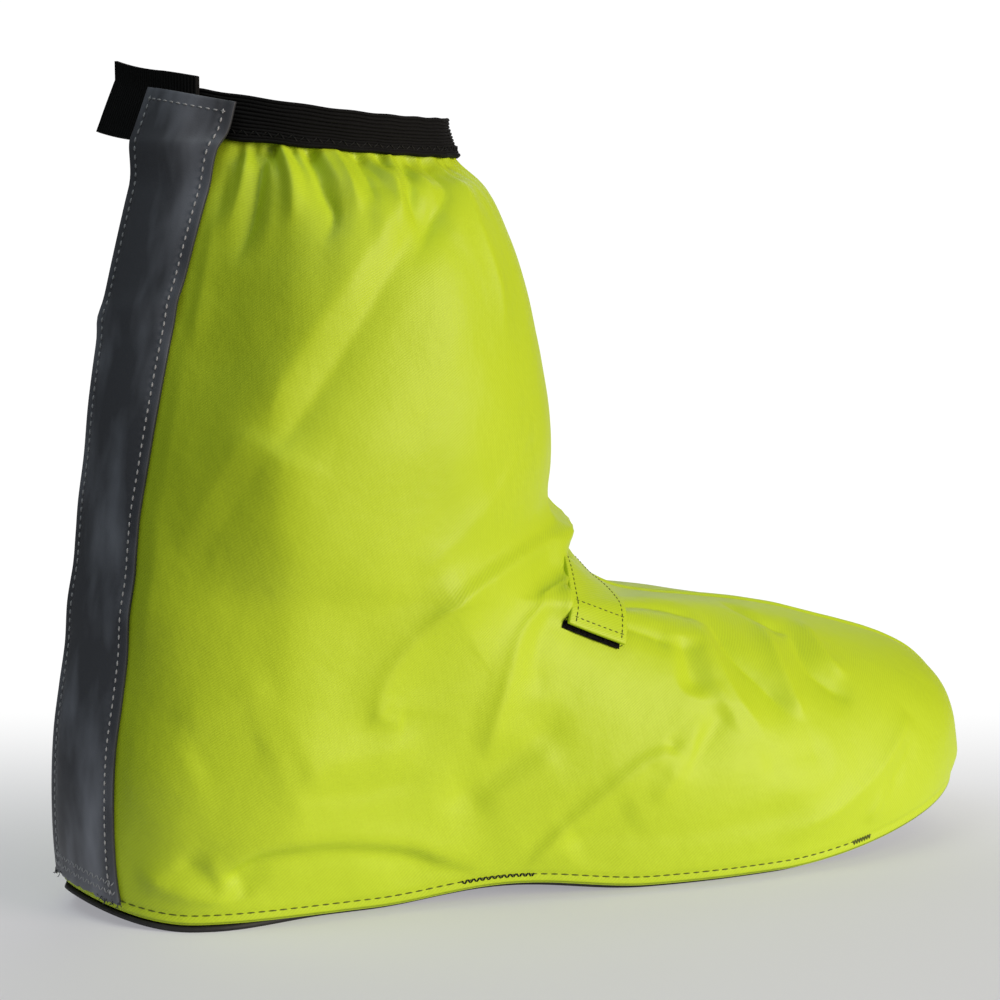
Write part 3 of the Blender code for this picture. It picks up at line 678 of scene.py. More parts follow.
# %% Gathers
# count, first turn, span of turns, reach downwards, depth
PUCKERS = (
    (21, 0.05, 0.46, (6.0, 15.0), (0.8, 1.6)),
    (15, 0.52, 0.46, (9.0, 34.0), (0.7, 1.7)),
)
PUCKER_SEED, PUCKER_JITTER, PUCKER_LEAN = 11, 0.3, 0.0006
PUCKER_SPREAD, SPREAD_GROWTH = (0.005, 0.008), 0.02
SHOULDER_SHARE, SHOULDER_AWAY = 0.6, 1.6
LUMPS = ((34.0, 0.9), (13.0, 0.25))
ELASTIC_FROM_LEVEL, OUTER_SIDE_TURN = 15.0, 0.25
BELOW_ELASTIC = surface(ELASTIC_FROM_LEVEL, OUTER_SIDE_TURN)[2] - LAST[..., 2]


def gather_height():
    """Puckers that hang from the elastic, in turns round the collar and millimetres below it."""
    draw = np.random.default_rng(PUCKER_SEED)
    total = np.zeros(LAST.shape[:2])
    below = np.maximum(BELOW_ELASTIC, 0.0)
    for count, first, span, reaches, depths in PUCKERS:
        for k in range(count):
            turn = first + span * (k + draw.uniform(-PUCKER_JITTER, PUCKER_JITTER)) / count
            lean = draw.uniform(-PUCKER_LEAN, PUCKER_LEAN)
            spread = draw.uniform(*PUCKER_SPREAD) * (1.0 + SPREAD_GROWTH * below)
            away = ((TURNS - turn - lean * BELOW_ELASTIC + 0.5) % 1.0 - 0.5) / spread
            pucker = SHOULDER_SHARE * np.exp(-(away - SHOULDER_AWAY)**2) - np.exp(-away**2)
            total += draw.uniform(*depths) * np.exp(-below / draw.uniform(*reaches)) * pucker
    return total


def lump_height(size, height):
    """A soft noise over the cloth with lumps of one size."""
    values = [noise.noise(Vector(point / size)) for point in cloth_points]
    return height * np.array(values).reshape(LAST.shape[:2])


gathers = gather_height()
lumps = sum(lump_height(*lump) for lump in LUMPS)
print("gathers", gathers.min().round(2), "lumps", lumps.max().round(2), "mm")

# %% [markdown]
# ## The shell
# Now the parts add up: last, folds, gathers and lumps, each along the normal. Masks hold the
# cloth still at the hem, under the elastic, beneath the strip and under the strap. The front seam
# is a narrow groove between two small welts where the side panels meet, and the hem has a groove
# under its stitches. The lining is a coarser copy of the cloth, a wall's thickness inside it,
# that meets it at both edges.

# %% Where the strap lies
STRAP_CREST = np.array((160.6, 0.0, 95.9))
STRAP_LEAN_DEG, STRAP_YAW_DEG = 28.0, 9.0
STRAP_WIDTH, STRAP_CORE_DEPTH = 20.0, 40.0
ROLL_FROM, ROLL_TO, ROLL_OVER_STRAP = (-10.0, -2.0), (10.0, 22.0), 8.0
STRAP_BACK_FADE, STRAP_FRONT_FADE, STRAP_TOP_FADE = 5.0, (-1.0, 3.0), (0.0, 12.0)


def strap_axes():
    """Core point, and directions across the strap, up to its crest and to its outer end."""
    lean, yaw = math.radians(STRAP_LEAN_DEG), math.radians(STRAP_YAW_DEG)
    level = np.array([math.cos(lean), 0.0, -math.sin(lean)])
    upward = np.array([math.sin(lean), 0.0, math.cos(lean)])
    outer_side = np.array([0.0, -1.0, 0.0])
    across = math.cos(yaw) * level - math.sin(yaw) * outer_side
    sideward = math.cos(yaw) * outer_side + math.sin(yaw) * level
    return STRAP_CREST - STRAP_CORE_DEPTH * upward, across, upward, sideward


def under_roll(sideward):
    """1 where the ankle's roll hangs over the strap's back half: on the crest and just outside it."""
    return plateau(sideward, ROLL_FROM, ROLL_TO)


def under_strap():
    """1 where the cloth lies under the instep strap, fading out beside it and under the ankle's roll."""
    core, across, upward, sideward = strap_axes()
    from_core = LAST - core
    away = from_core @ across
    back_edge = -STRAP_WIDTH / 2 + ROLL_OVER_STRAP * under_roll(from_core @ sideward)
    beside = smooth_step(away - back_edge, 0.0, STRAP_BACK_FADE)
    beside = beside * (1.0 - smooth_step(away - STRAP_WIDTH / 2, *STRAP_FRONT_FADE))
    return beside * smooth_step(from_core @ upward, *STRAP_TOP_FADE)


print("cloth points under the strap:", int((under_strap() > 0.5).sum()))

# %% Height of the cloth
SEAM_GROOVE, SEAM_GROOVE_HALF = -0.4, 0.4
SEAM_WELT, WELT_SHOULDER = 0.5, (1.0, 2.4)
WELT_EDGE, WELT_EDGE_AWAY, WELT_EDGE_HALF = -0.4, 2.8, 0.7
HEM_GROOVE, HEM_GROOVE_HALF, HEM_STITCH_HEIGHT = -0.35, 0.8, 3.2
STRIP_WIDTH, STRIP_OVERHANG = 30.0, 3.0
FREE_ABOVE_HEM = (1.0, 9.0)
HELD_BY_ELASTIC = (ELASTIC_FROM_LEVEL - 0.1, ELASTIC_FROM_LEVEL + 0.25)
FREE_BESIDE_STRIP = (STRIP_WIDTH - STRIP_OVERHANG - 1.0, STRIP_WIDTH + 4.0)


def hump(distance, reach):
    """A smooth hump of height one."""
    return np.exp(-(distance / reach)**2)


def cloth_height():
    """All that lifts the cloth off the last, held still where other pieces lie on it."""
    above_hem = LAST[..., 2] - surface(0.0, TURNS)[..., 2]
    places = PLACES[:, :-1]
    free = smooth_step(above_hem, *FREE_ABOVE_HEM) * (1.0 - smooth_step(LEVELS[:, None], *HELD_BY_ELASTIC))
    height = (folds + gathers + lumps) * free * smooth_step(places, *FREE_BESIDE_STRIP)
    height = np.where(height > 0.0, height * (1.0 - under_strap()), height)
    seam = np.abs(places - places[:, OUTER_COLUMNS - 1:OUTER_COLUMNS])
    welt = SEAM_GROOVE * hump(seam, SEAM_GROOVE_HALF) + SEAM_WELT * (1.0 - smooth_step(seam, *WELT_SHOULDER))
    welt = welt + WELT_EDGE * hump(seam - WELT_EDGE_AWAY, WELT_EDGE_HALF)
    return height + welt * free + HEM_GROOVE * hump(above_hem - HEM_STITCH_HEIGHT, HEM_GROOVE_HALF)


cloth_lift = cloth_height()
print("cloth from", cloth_lift.min().round(1), "to", cloth_lift.max().round(1), "mm off the last")

# %% Shell
WALL, LINING_STEP = 1.0, 2
FLAT_HEM_ROWS, HEM_BEND_DEG = 6, (30.0, 60.0)


def hem_rows():
    """Rows that turn in under the foot: flat hem first, then round the hem's small radius."""
    loop = surface(0.0, TURNS[0])
    inwards = unit(np.cross(steps_round(loop), (0.0, 0.0, -1.0)))
    insets = [(inset, 0.0) for inset in np.linspace(TURNED_HEM_WIDTH, HEM_RADIUS, FLAT_HEM_ROWS)]
    for angle in np.radians(HEM_BEND_DEG):
        insets.append((HEM_RADIUS * (1.0 - math.sin(angle)), HEM_RADIUS * (1.0 - math.cos(angle))))
    rows = []
    for inset, rise in insets:
        points = loop + inset * inwards
        points[:, 2] = sole_height(points[:, 0]) + SOLE_THICKNESS + HEM_GAP + rise
        rows.append(points)
    return np.array(rows)


def make_shell():
    """The cloth of the whole upper as one mesh, with its UV map in the cloth's own lengths."""
    cloth = LAST + cloth_lift[..., None] * grid_normals(LAST, True)
    cloth[0, :, 2] += HEM_RADIUS
    hem = hem_rows()
    points = np.concatenate([hem, cloth])
    faces = grid_faces(len(points), COLUMNS, closed=True)
    piece = add_mesh("upper_shell", points, faces.tolist(), [FABRIC])
    places = np.concatenate([np.repeat(PLACES[:1], len(hem), axis=0), PLACES])
    heights = np.concatenate([hem[..., 2], LAST[..., 2]])
    heights[:len(hem)] -= np.linspace(TURNED_HEM_WIDTH, 0.0, len(hem))[:, None]
    row, column = np.divmod(faces, COLUMNS)
    last_column = np.broadcast_to(np.arange(len(faces))[:, None] % COLUMNS == COLUMNS - 1, faces.shape)
    wrapped = np.where(last_column & (column == 0), COLUMNS, column)
    add_uv(piece, np.stack([places[row, wrapped], heights[row, column]], -1).reshape(-1, 2))
    return piece, points


def make_lining(cloth):
    """The film on the shell's inside: every other row and column of the cloth, moved inwards."""
    rows = np.unique(np.append(np.arange(0, len(cloth), LINING_STEP), len(cloth) - 1))
    points = cloth[rows, ::LINING_STEP]
    points[1:-1] -= WALL * grid_normals(cloth, True)[rows[1:-1], ::LINING_STEP]
    faces = grid_faces(*points.shape[:2], closed=True)[:, ::-1]
    return add_mesh("upper_lining", points, faces.tolist(), [LINING])


upper_shell, shell_points = make_shell()
settle(make_lining(shell_points))
SHELL_TREE = search_tree(shell_points)
settle(upper_shell, "upper")
print("shell triangles", sum(len(face.vertices) - 2 for face in upper_shell.data.polygons))

# %% [markdown]
# ## Layers on the last
# The elastic, the tab, the strip and the strap lie on the shell in layers. Each is a row of
# points on the last, lifted along the outward direction by the layers below it. The closing flap
# runs straight on past the back edge, so its distances are counted along the cloth from there.

# %% Layers on the last
GAP, LAYER_GAP = 0.3, 0.5
BACK_EDGE_TURN, LEVEL_STEP, TURN_STEP = 0.004, 0.02, 0.001
FLAP_TURN_LIMIT, FLAP_EDGE_LENGTH = 0.4, 4.0
EDGE_SEGMENTS, EDGE_ANGLE_DEG = 2, 50.0


def outward(level, turn):
    """Unit normals of the last, taken on the outer side of the back edge."""
    turn = np.clip(turn, BACK_EDGE_TURN, 1.0 - BACK_EDGE_TURN)
    above, below = np.minimum(level + LEVEL_STEP, TOP_LEVEL), np.maximum(level - LEVEL_STEP, 0.0)
    around = surface(level, turn + TURN_STEP) - surface(level, turn - TURN_STEP)
    return unit(np.cross(around, surface(above, turn) - surface(below, turn)))


def flap_row(level, distances, lift, above=0.0):
    """Points of the closing flap at one level, at distances from the back edge."""
    distances = np.asarray(distances, dtype=float)
    turns = np.linspace(0.0, FLAP_TURN_LIMIT, HALF_SAMPLES)
    loop = surface(level, turns)
    lengths = lengths_along(loop)
    places = np.interp(np.maximum(distances, 0.0), lengths, turns)
    points = surface(level, places) + np.reshape(lift, (-1, 1)) * outward(level, places)
    backwards = unit(loop[0] - surface(level, np.interp(FLAP_EDGE_LENGTH, lengths, turns)))
    return points + np.maximum(-distances, 0.0)[:, None] * backwards + np.array([0.0, 0.0, above])


def add_sheet(name, points, thickness, materials, softness, rim=0):
    """A sheet under an open grid of points, with soft edges and a UV map in its own lengths."""
    faces = grid_faces(*points.shape[:2])
    piece = add_mesh(name, points, faces.tolist(), materials)
    across = np.linalg.norm(np.diff(points, axis=1, prepend=points[:, :1]), axis=-1).cumsum(axis=1)
    along = np.linalg.norm(np.diff(points, axis=0, prepend=points[:1]), axis=-1).cumsum(axis=0)
    lengths = np.stack([across, along], axis=-1).reshape(-1, 2)
    add_uv(piece, lengths[faces].reshape(-1, 2))
    add_wall(piece, thickness).material_offset_rim = rim
    edge = piece.modifiers.new("edge", "BEVEL")
    edge.width = softness * MM
    edge.segments = EDGE_SEGMENTS
    edge.limit_method = "ANGLE"
    edge.angle_limit = math.radians(EDGE_ANGLE_DEG)
    return applied(piece)


print("back edge at the collar:", flap_row(TOP_LEVEL, [0.0], GAP)[0].round(1))

# %% [markdown]
# ## Stitches, cords and hooks from Geometry Nodes
# Sewing is one small shape repeated along a line. The stitch tree takes a line that carries the
# cloth's normals, cuts it to the stitch pitch and puts a small thread on each point. Sway turns
# every other thread the other way, which makes a zigzag. The cord tree lays a round cord along
# lines, for ribs and loose threads, and the hook tree scatters small bent hooks on faces.

# %% Tree helpers
GEOMETRY, NUMBER, MATERIAL = "NodeSocketGeometry", "NodeSocketFloat", "NodeSocketMaterial"


def new_tree(name, numbers, material):
    """A geometry tree with named numbers and a material to give, its inputs and its output node."""
    tree = bpy.data.node_groups.new(name, "GeometryNodeTree")
    given = {"Geometry": GEOMETRY, **dict.fromkeys(numbers, NUMBER), material: MATERIAL}
    for label, kind in given.items():
        tree.interface.new_socket(label, in_out="INPUT", socket_type=kind)
    tree.interface.new_socket("Geometry", in_out="OUTPUT", socket_type=GEOMETRY)
    return tree, add_node(tree, "NodeGroupInput").outputs, add_node(tree, "NodeGroupOutput")


def end_tree(tree, geometry, material, result):
    """Close a tree: real geometry, smooth shading and the material."""
    for kind in ("RealizeInstances", "SetShadeSmooth", "SetMaterial"):
        step = add_node(tree, "GeometryNode" + kind, {"Geometry": geometry})
        geometry = step.outputs["Geometry"]
    connect(tree, step, {"Material": material})
    connect(tree, result, {"Geometry": geometry})
    return tree


def lines_to_curves(tree, given):
    """The curves of a mesh made of lines."""
    return add_node(tree, "GeometryNodeMeshToCurve", {"Mesh": given["Geometry"]}).outputs["Curve"]


def round_wire(tree, curve, radius, sides):
    """A round wire with closed ends along curves."""
    ring = add_node(tree, "GeometryNodeCurvePrimitiveCircle", {"Resolution": sides, "Radius": radius})
    return add_node(tree, "GeometryNodeCurveToMesh", {
        "Curve": curve, "Profile Curve": ring.outputs["Curve"], "Fill Caps": True}).outputs["Mesh"]


def place_on(tree, points, shape, rotation, scale):
    """Copies of a shape on points."""
    return add_node(tree, "GeometryNodeInstanceOnPoints", {
        "Points": points, "Instance": shape, "Rotation": rotation, "Scale": scale}).outputs["Instances"]


# %% Stitch tree
STITCH_SEED, STITCH_LEAST, STITCH_MOST = 5, 0.88, 1.08
THREAD_SEGMENTS, THREAD_RINGS = 8, 5
EVEN_SWING, ODD_SWING = -2.0, 2.0


def stitch_tree():
    """Threads along lines: Pitch, Fill of the pitch, Thickness, Sway to the sides, and Thread."""
    tree, given, result = new_tree("stitch_row", ("Pitch", "Fill", "Thickness", "Sway"), "Thread")
    even = add_node(tree, "GeometryNodeResampleCurve", {
        "Curve": lines_to_curves(tree, given), "Length": given["Pitch"]}, mode="LENGTH").outputs["Curve"]
    normal = add_node(tree, "GeometryNodeInputNamedAttribute", {"Name": "surface_normal"},
                      data_type="FLOAT_VECTOR").outputs["Attribute"]
    tangent = add_node(tree, "GeometryNodeInputTangent").outputs[0]
    index = add_node(tree, "GeometryNodeInputIndex").outputs[0]
    side = vector_maths(tree, "CROSS_PRODUCT", normal, tangent)
    odd = number_maths(tree, "MODULO", index, 2.0)
    swing = number_maths(tree, "MULTIPLY_ADD", odd, ODD_SWING - EVEN_SWING, EVEN_SWING)
    sway = number_maths(tree, "MULTIPLY", swing, given["Sway"])
    along = vector_maths(tree, "SCALE", tangent, Scale=given["Pitch"])
    step = vector_maths(tree, "ADD", along, vector_maths(tree, "SCALE", side, Scale=sway))
    length = vector_maths(tree, "LENGTH", step, output="Value")
    uneven = add_node(tree, "FunctionNodeRandomValue", {
        "Seed": STITCH_SEED, 2: STITCH_LEAST, 3: STITCH_MOST}, data_type="FLOAT").outputs[1]
    filled = number_maths(tree, "MULTIPLY", number_maths(tree, "MULTIPLY", length, given["Fill"]), uneven)
    thickness = given["Thickness"]
    size = add_node(tree, "ShaderNodeCombineXYZ", {0: filled, 1: thickness, 2: thickness}).outputs[0]
    aim = add_node(tree, "FunctionNodeAlignRotationToVector", {"Vector": step}, axis="X").outputs[0]
    stand = add_node(tree, "FunctionNodeAlignRotationToVector", {"Rotation": aim, "Vector": normal},
                     axis="Z", pivot_axis="X").outputs[0]
    thread = add_node(tree, "GeometryNodeMeshUVSphere", {
        "Segments": THREAD_SEGMENTS, "Rings": THREAD_RINGS, "Radius": 0.5}).outputs["Mesh"]
    return end_tree(tree, place_on(tree, even, thread, stand, size), given["Thread"], result)


STITCHES = stitch_tree()
print("stitch tree:", len(STITCHES.nodes), "nodes")

# %% Cord tree and hook tree
CORD_SIDES, HOOK_SIDES, HOOK_STEPS = 6, 4, 5
HOOK_MIDDLE, HOOK_TIP, HOOK_TILT = (0.0, 0.0, 1.5), (0.7, 0.0, 0.7), 0.4
HOOK_PLACE_SEED, HOOK_SPIN_SEED = 4, 9


def cord_tree():
    """A round cord along lines: Radius and Yarn."""
    tree, given, result = new_tree("cord_row", ("Radius",), "Yarn")
    cord = round_wire(tree, lines_to_curves(tree, given), given["Radius"], CORD_SIDES)
    return end_tree(tree, cord, given["Yarn"], result)


def hook_tree():
    """Bent hooks on faces: Density to the square metre, Height, Radius and Plastic."""
    tree, given, result = new_tree("hook_field", ("Density", "Height", "Radius"), "Plastic")
    places = add_node(tree, "GeometryNodeDistributePointsOnFaces", {
        "Mesh": given["Geometry"], "Density": given["Density"], "Seed": HOOK_PLACE_SEED}).outputs
    bend = add_node(tree, "GeometryNodeCurveQuadraticBezier", {
        "Resolution": HOOK_STEPS, "Start": (0.0, 0.0, 0.0), "Middle": HOOK_MIDDLE, "End": HOOK_TIP})
    thin = number_maths(tree, "DIVIDE", given["Radius"], given["Height"])
    hook = round_wire(tree, bend.outputs["Curve"], thin, HOOK_SIDES)
    spin = add_node(tree, "FunctionNodeRandomValue", {
        "Seed": HOOK_SPIN_SEED, 0: (-HOOK_TILT, -HOOK_TILT, 0.0), 1: (HOOK_TILT, HOOK_TILT, 2 * math.pi)},
        data_type="FLOAT_VECTOR").outputs[0]
    turned = add_node(tree, "FunctionNodeRotateRotation", {
        "Rotation": places["Rotation"], "Rotate By": spin}, rotation_space="LOCAL").outputs[0]
    hooks = place_on(tree, places["Points"], hook, turned, given["Height"])
    return end_tree(tree, hooks, given["Plastic"], result)


CORDS, HOOKS = cord_tree(), hook_tree()
print("cord tree:", len(CORDS.nodes), "nodes, hook tree:", len(HOOKS.nodes), "nodes")

# %% Sewing and laying
def grown(piece, tree, values):
    """Run a geometry tree on a piece with values for its named inputs, and keep the plain mesh."""
    modifier = piece.modifiers.new(tree.name, "NODES")
    modifier.node_group = tree
    for item in tree.interface.items_tree:
        if item.in_out == "INPUT" and item.name in values:
            modifier[item.identifier] = values[item.name]
    return applied(piece)


def add_lines(name, lines, normals=None, closed=False):
    """A mesh of lines of points, each point with the surface normal under it."""
    points, edges = [], []
    for line in lines:
        first = len(points)
        points.extend(line)
        edges.extend((i, i + 1) for i in range(first, len(points) - 1))
        if closed:
            edges.append((len(points) - 1, first))
    piece = add_mesh(name, np.array(points), [], [], edges)
    if normals is not None:
        values = piece.data.attributes.new("surface_normal", "FLOAT_VECTOR", "POINT")
        values.data.foreach_set("vector", np.concatenate(normals).astype(np.float32).ravel())
    return piece


def sew(name, slot, lines, normals, thread, pitch, fill=0.72, thickness=0.5, sway=0.0):
    """Rows of stitches along lines on a piece."""
    values = {"Pitch": pitch * MM, "Fill": fill, "Thickness": thickness * MM, "Sway": sway * MM}
    return settle(grown(add_lines(name, lines, normals), STITCHES, {**values, "Thread": thread}))


def lay_cords(name, lines, yarn, radius, closed=False):
    """Round cords along lines."""
    piece = add_lines(name, lines, closed=closed)
    return settle(grown(piece, CORDS, {"Radius": radius * MM, "Yarn": yarn}))


def on_shell(points, sink=0.0):
    """Points moved onto the finished shell, sunk into it a little, and its normals there."""
    places, normals = [], []
    for point in points:
        place, normal, _, _ = SHELL_TREE.find_nearest(Vector(point))
        places.append(np.array(place - sink * normal))
        normals.append(np.array(normal))
    return np.array(places), np.array(normals)


# %% [markdown]
# ## Thread
# All sewing thread here is a twisted polyester with a soft shine. One function makes it in each
# colour: dull olive on the yellow cloth, grey on the strip and black at the arch and the collar.

# %% Threads
TWIST_SIZE, TWIST_DEPTH, TWIST_SHADE = 0.0003, 0.00005, 0.7


def make_thread(name, colour):
    """Twisted thread of one colour."""
    material, tree, shader = new_material(name, colour, roughness=0.55, specular=0.3)
    twist = add_noise(tree, object_place(tree), TWIST_SIZE)
    shade = colour_ramp(tree, twist, [TWIST_SHADE * c for c in colour], colour, start=0.35, end=0.65)
    connect(tree, shader, {"Base Color": shade})
    add_bump(tree, shader, twist, TWIST_DEPTH, strength=0.6)
    return material


OLIVE_THREAD = make_thread("olive_thread", (0.10, 0.13, 0.012))
GREY_THREAD = make_thread("grey_thread", (0.36, 0.37, 0.39))
BLACK_THREAD = make_thread("black_thread", (0.002, 0.002, 0.002))
print("threads: olive, grey and black")

# %% [markdown]
# ## Hem stitching
# The hem is turned in and sewn with one row of long stitches a few millimetres above its edge.
# Two bar tacks hold the ends of the elasticated part: a long black one at the arch and a short
# one below the toe. The stitched hem ends at the toe tack.

# %% Hem stitching
HEM_STITCH_LEVEL, TACK_LEVEL, INNER_HEM_FROM_X = 0.235, 0.22, 9.0
HEM_SAMPLES, STITCH_SINK, TACK_STEP = np.linspace(0.01, 0.49, 1500), 0.05, 0.5
ARCH_TACK_X, TOE_TACK_X = (118.0, 140.0), (248.0, 255.0)


def hem_line(start_x, end_x, level, inner, step=1.0):
    """Points along the hem on one side, between two places along the shoe."""
    loop = surface(level, 1.0 - HEM_SAMPLES if inner else HEM_SAMPLES)
    kept = loop[(loop[:, 0] > start_x) & (loop[:, 0] < end_x)]
    lengths = lengths_along(kept)
    places = np.arange(0.0, lengths[-1], step)
    return np.stack([np.interp(places, lengths, kept[:, k]) for k in range(3)], axis=-1)


strip_front_x = flap_row(HEM_STITCH_LEVEL, [STRIP_WIDTH - STRIP_OVERHANG], 0.0)[0, 0]
hem_lines = []
for inner, start_x in ((False, strip_front_x), (True, INNER_HEM_FROM_X)):
    hem_lines.append(on_shell(hem_line(start_x, TOE_TACK_X[1], HEM_STITCH_LEVEL, inner), STITCH_SINK))
sew("hem_stitches", "coated_fabric", *zip(*hem_lines), OLIVE_THREAD, pitch=3.2, fill=0.82)


def bar_tack(name, reach_x, thread, **stitch):
    """A zigzag on the hem of both sides, between two places along the shoe."""
    lines = [on_shell(hem_line(*reach_x, TACK_LEVEL, inner, TACK_STEP)) for inner in (False, True)]
    return sew(name, "coated_fabric", *zip(*lines), thread, **stitch)


bar_tack("arch_tacks", ARCH_TACK_X, BLACK_THREAD, pitch=0.9, fill=0.9, thickness=0.6, sway=0.75)
bar_tack("toe_tacks", TOE_TACK_X, OLIVE_THREAD, pitch=0.5, fill=0.95, thickness=0.5, sway=1.0)

# %% [markdown]
# ## Sole
# The sole is a thin rubberised sheet inside the turned hem. It is a grid between its two edges,
# with a round-ended window for the cleat cut out by a Boolean. The rubber is nearly black, with
# a moulded leather-like grain and paler scuffs where it meets the ground.

# %% Rubber
RUBBER_BLACK, RUBBER_DARK, RUBBER_WORN = (0.012, 0.012, 0.013), (0.010, 0.010, 0.011), (0.03, 0.03, 0.03)
GRAIN_CELLS_PER_METRE, GRAIN_DEPTH, SCUFF_SIZE = 700.0, 0.00012, 0.018


def grained_rubber():
    """Matt black sheet rubber with a fine moulded grain."""
    material, tree, shader = new_material("grained_rubber", RUBBER_BLACK, roughness=0.6)
    place = object_place(tree)
    cells = add_node(tree, "ShaderNodeTexVoronoi", {"Vector": place, "Scale": GRAIN_CELLS_PER_METRE})
    scuffs = add_noise(tree, place, SCUFF_SIZE, detail=6.0)
    worn = colour_ramp(tree, scuffs, RUBBER_DARK, RUBBER_WORN, start=0.5, end=0.8)
    connect(tree, shader, {"Base Color": worn, "Roughness": value_range(tree, scuffs, 0.5, 0.8)})
    add_bump(tree, shader, cells.outputs["Distance"], GRAIN_DEPTH, strength=0.6)
    return material


RUBBER = grained_rubber()
print("rubber grain", round(1.0 / GRAIN_CELLS_PER_METRE / MM, 1), "mm")

# %% Sole
SOLE_INSET_AT_HEEL, SOLE_INSET_IN_FRONT, SOLE_SLIPS_UNDER_X = 0.6, 6.0, (42.0, 80.0)
CLEAT_WINDOW_X, CLEAT_WINDOW_WIDTH, CUTTER_Z = (150.0, 246.0), 50.0, (-10.0, 20.0)
SOLE_STATIONS, SOLE_ACROSS, EDGE_SAMPLES, ARC_POINTS = 130, 44, 720, 33


def sole_edges():
    """The sole's outer and inner edges in plan, from back to front."""
    loop = surface(0.0, np.linspace(0.0, 1.0, EDGE_SAMPLES, endpoint=False))
    in_front = smooth_step(loop[:, 0], *SOLE_SLIPS_UNDER_X)
    inset = SOLE_INSET_AT_HEEL + (SOLE_INSET_IN_FRONT - SOLE_INSET_AT_HEEL) * in_front
    tangent = steps_round(loop)
    inwards = unit(np.stack([-tangent[:, 1], tangent[:, 0]], axis=-1))
    plan = loop[:, :2] + inset[:, None] * inwards
    plan = np.roll(plan, -int(np.argmin(plan[:, 0])), axis=0)
    front = int(np.argmax(plan[:, 0]))
    return plan[:front + 1], np.vstack([plan[front:], plan[:1]])[::-1]


def window_cutter():
    """An upright prism with round ends."""
    half = CLEAT_WINDOW_WIDTH / 2
    angles = np.radians(np.linspace(-90.0, 90.0, ARC_POINTS))
    front = np.stack([CLEAT_WINDOW_X[1] - half + half * np.cos(angles), half * np.sin(angles)], -1)
    back = np.stack([CLEAT_WINDOW_X[0] + half - half * np.cos(angles), -half * np.sin(angles)], -1)
    outline = np.vstack([front, back])
    count = len(outline)
    points = np.vstack([np.column_stack([outline, np.full(count, z)]) for z in CUTTER_Z])
    faces = [tuple(range(count))[::-1], tuple(range(count, 2 * count))]
    faces += [(i, (i + 1) % count, (i + 1) % count + count, i + count) for i in range(count)]
    return add_mesh("window_cutter", points, faces, [])


def make_sole():
    """The sole's sheet with the cleat window."""
    outer, inner = sole_edges()
    ends = (max(outer[0, 0], inner[0, 0]), min(outer[-1, 0], inner[-1, 0]))
    share = (1.0 - np.cos(np.linspace(0.0, math.pi, SOLE_STATIONS + 2)[1:-1])) / 2
    stations = ends[0] + (ends[1] - ends[0]) * share
    low = np.interp(stations, outer[:, 0], outer[:, 1])
    high = np.interp(stations, inner[:, 0], inner[:, 1])
    y = low[:, None] + (high - low)[:, None] * np.linspace(0.0, 1.0, SOLE_ACROSS)
    x = np.repeat(stations[:, None], SOLE_ACROSS, axis=1)
    top = np.stack([x, y, sole_height(x) + SOLE_THICKNESS], axis=-1)
    faces = grid_faces(*top.shape[:2])[:, ::-1]
    piece = add_mesh("sole_sheet", top, faces.tolist(), [RUBBER])
    add_wall(piece, SOLE_THICKNESS)
    cutter = window_cutter()
    window = piece.modifiers.new("window", "BOOLEAN")
    window.operation = "DIFFERENCE"
    window.object = cutter
    applied(piece)
    bpy.data.objects.remove(cutter, do_unlink=True)
    return piece


settle(make_sole(), "sole")

# %% [markdown]
# ## Collar elastic
# The elastic is a woven band whose rubber cords show as fine ribs along it. A smooth band
# carries round cords laid by the cord tree. It was stretched when it was sewn, so its lower edge
# ripples. A zigzag row near that edge lets the sewing stretch with it.

# %% Black yarn
FUZZ_DEPTH, FUZZ_PALER = 0.00015, 2.2


def black_yarn(name, colour, size):
    """Dull knitted yarn, rough in the small."""
    material, tree, shader = new_material(name, colour, roughness=0.85, specular=0.2)
    fuzz = add_noise(tree, object_place(tree), size, detail=3.0)
    shade = colour_ramp(tree, fuzz, colour, [FUZZ_PALER * c for c in colour], start=0.45, end=0.75)
    connect(tree, shader, {"Base Color": shade})
    add_bump(tree, shader, fuzz, FUZZ_DEPTH, strength=0.8)
    return material


ELASTIC_YARN = black_yarn("elastic_yarn", (0.0022, 0.0022, 0.0024), 0.0005)
WEBBING_YARN = black_yarn("webbing_yarn", (0.0026, 0.0026, 0.0029), 0.0004)
print("yarns: elastic and webbing")

# %% Collar elastic
ELASTIC_THICKNESS, ELASTIC_ABOVE_EDGE, EDGE_SHARE = 1.5, 2.5, 0.8
ELASTIC_COLUMNS, ELASTIC_ROWS, ELASTIC_RIBS, RIB_RADIUS = 260, 9, 12, 0.5
RIPPLES, RIPPLE_DRIFT, DRIFTS_ROUND = 21, 0.25, 3
RIPPLE_SHARE, RIPPLE_LIFT, TOP_RIPPLE = 0.03, (0.05, 0.35), 0.1
ZIGZAG_SHARE = 0.2
RIB_LIFT = GAP + ELASTIC_THICKNESS - RIB_RADIUS


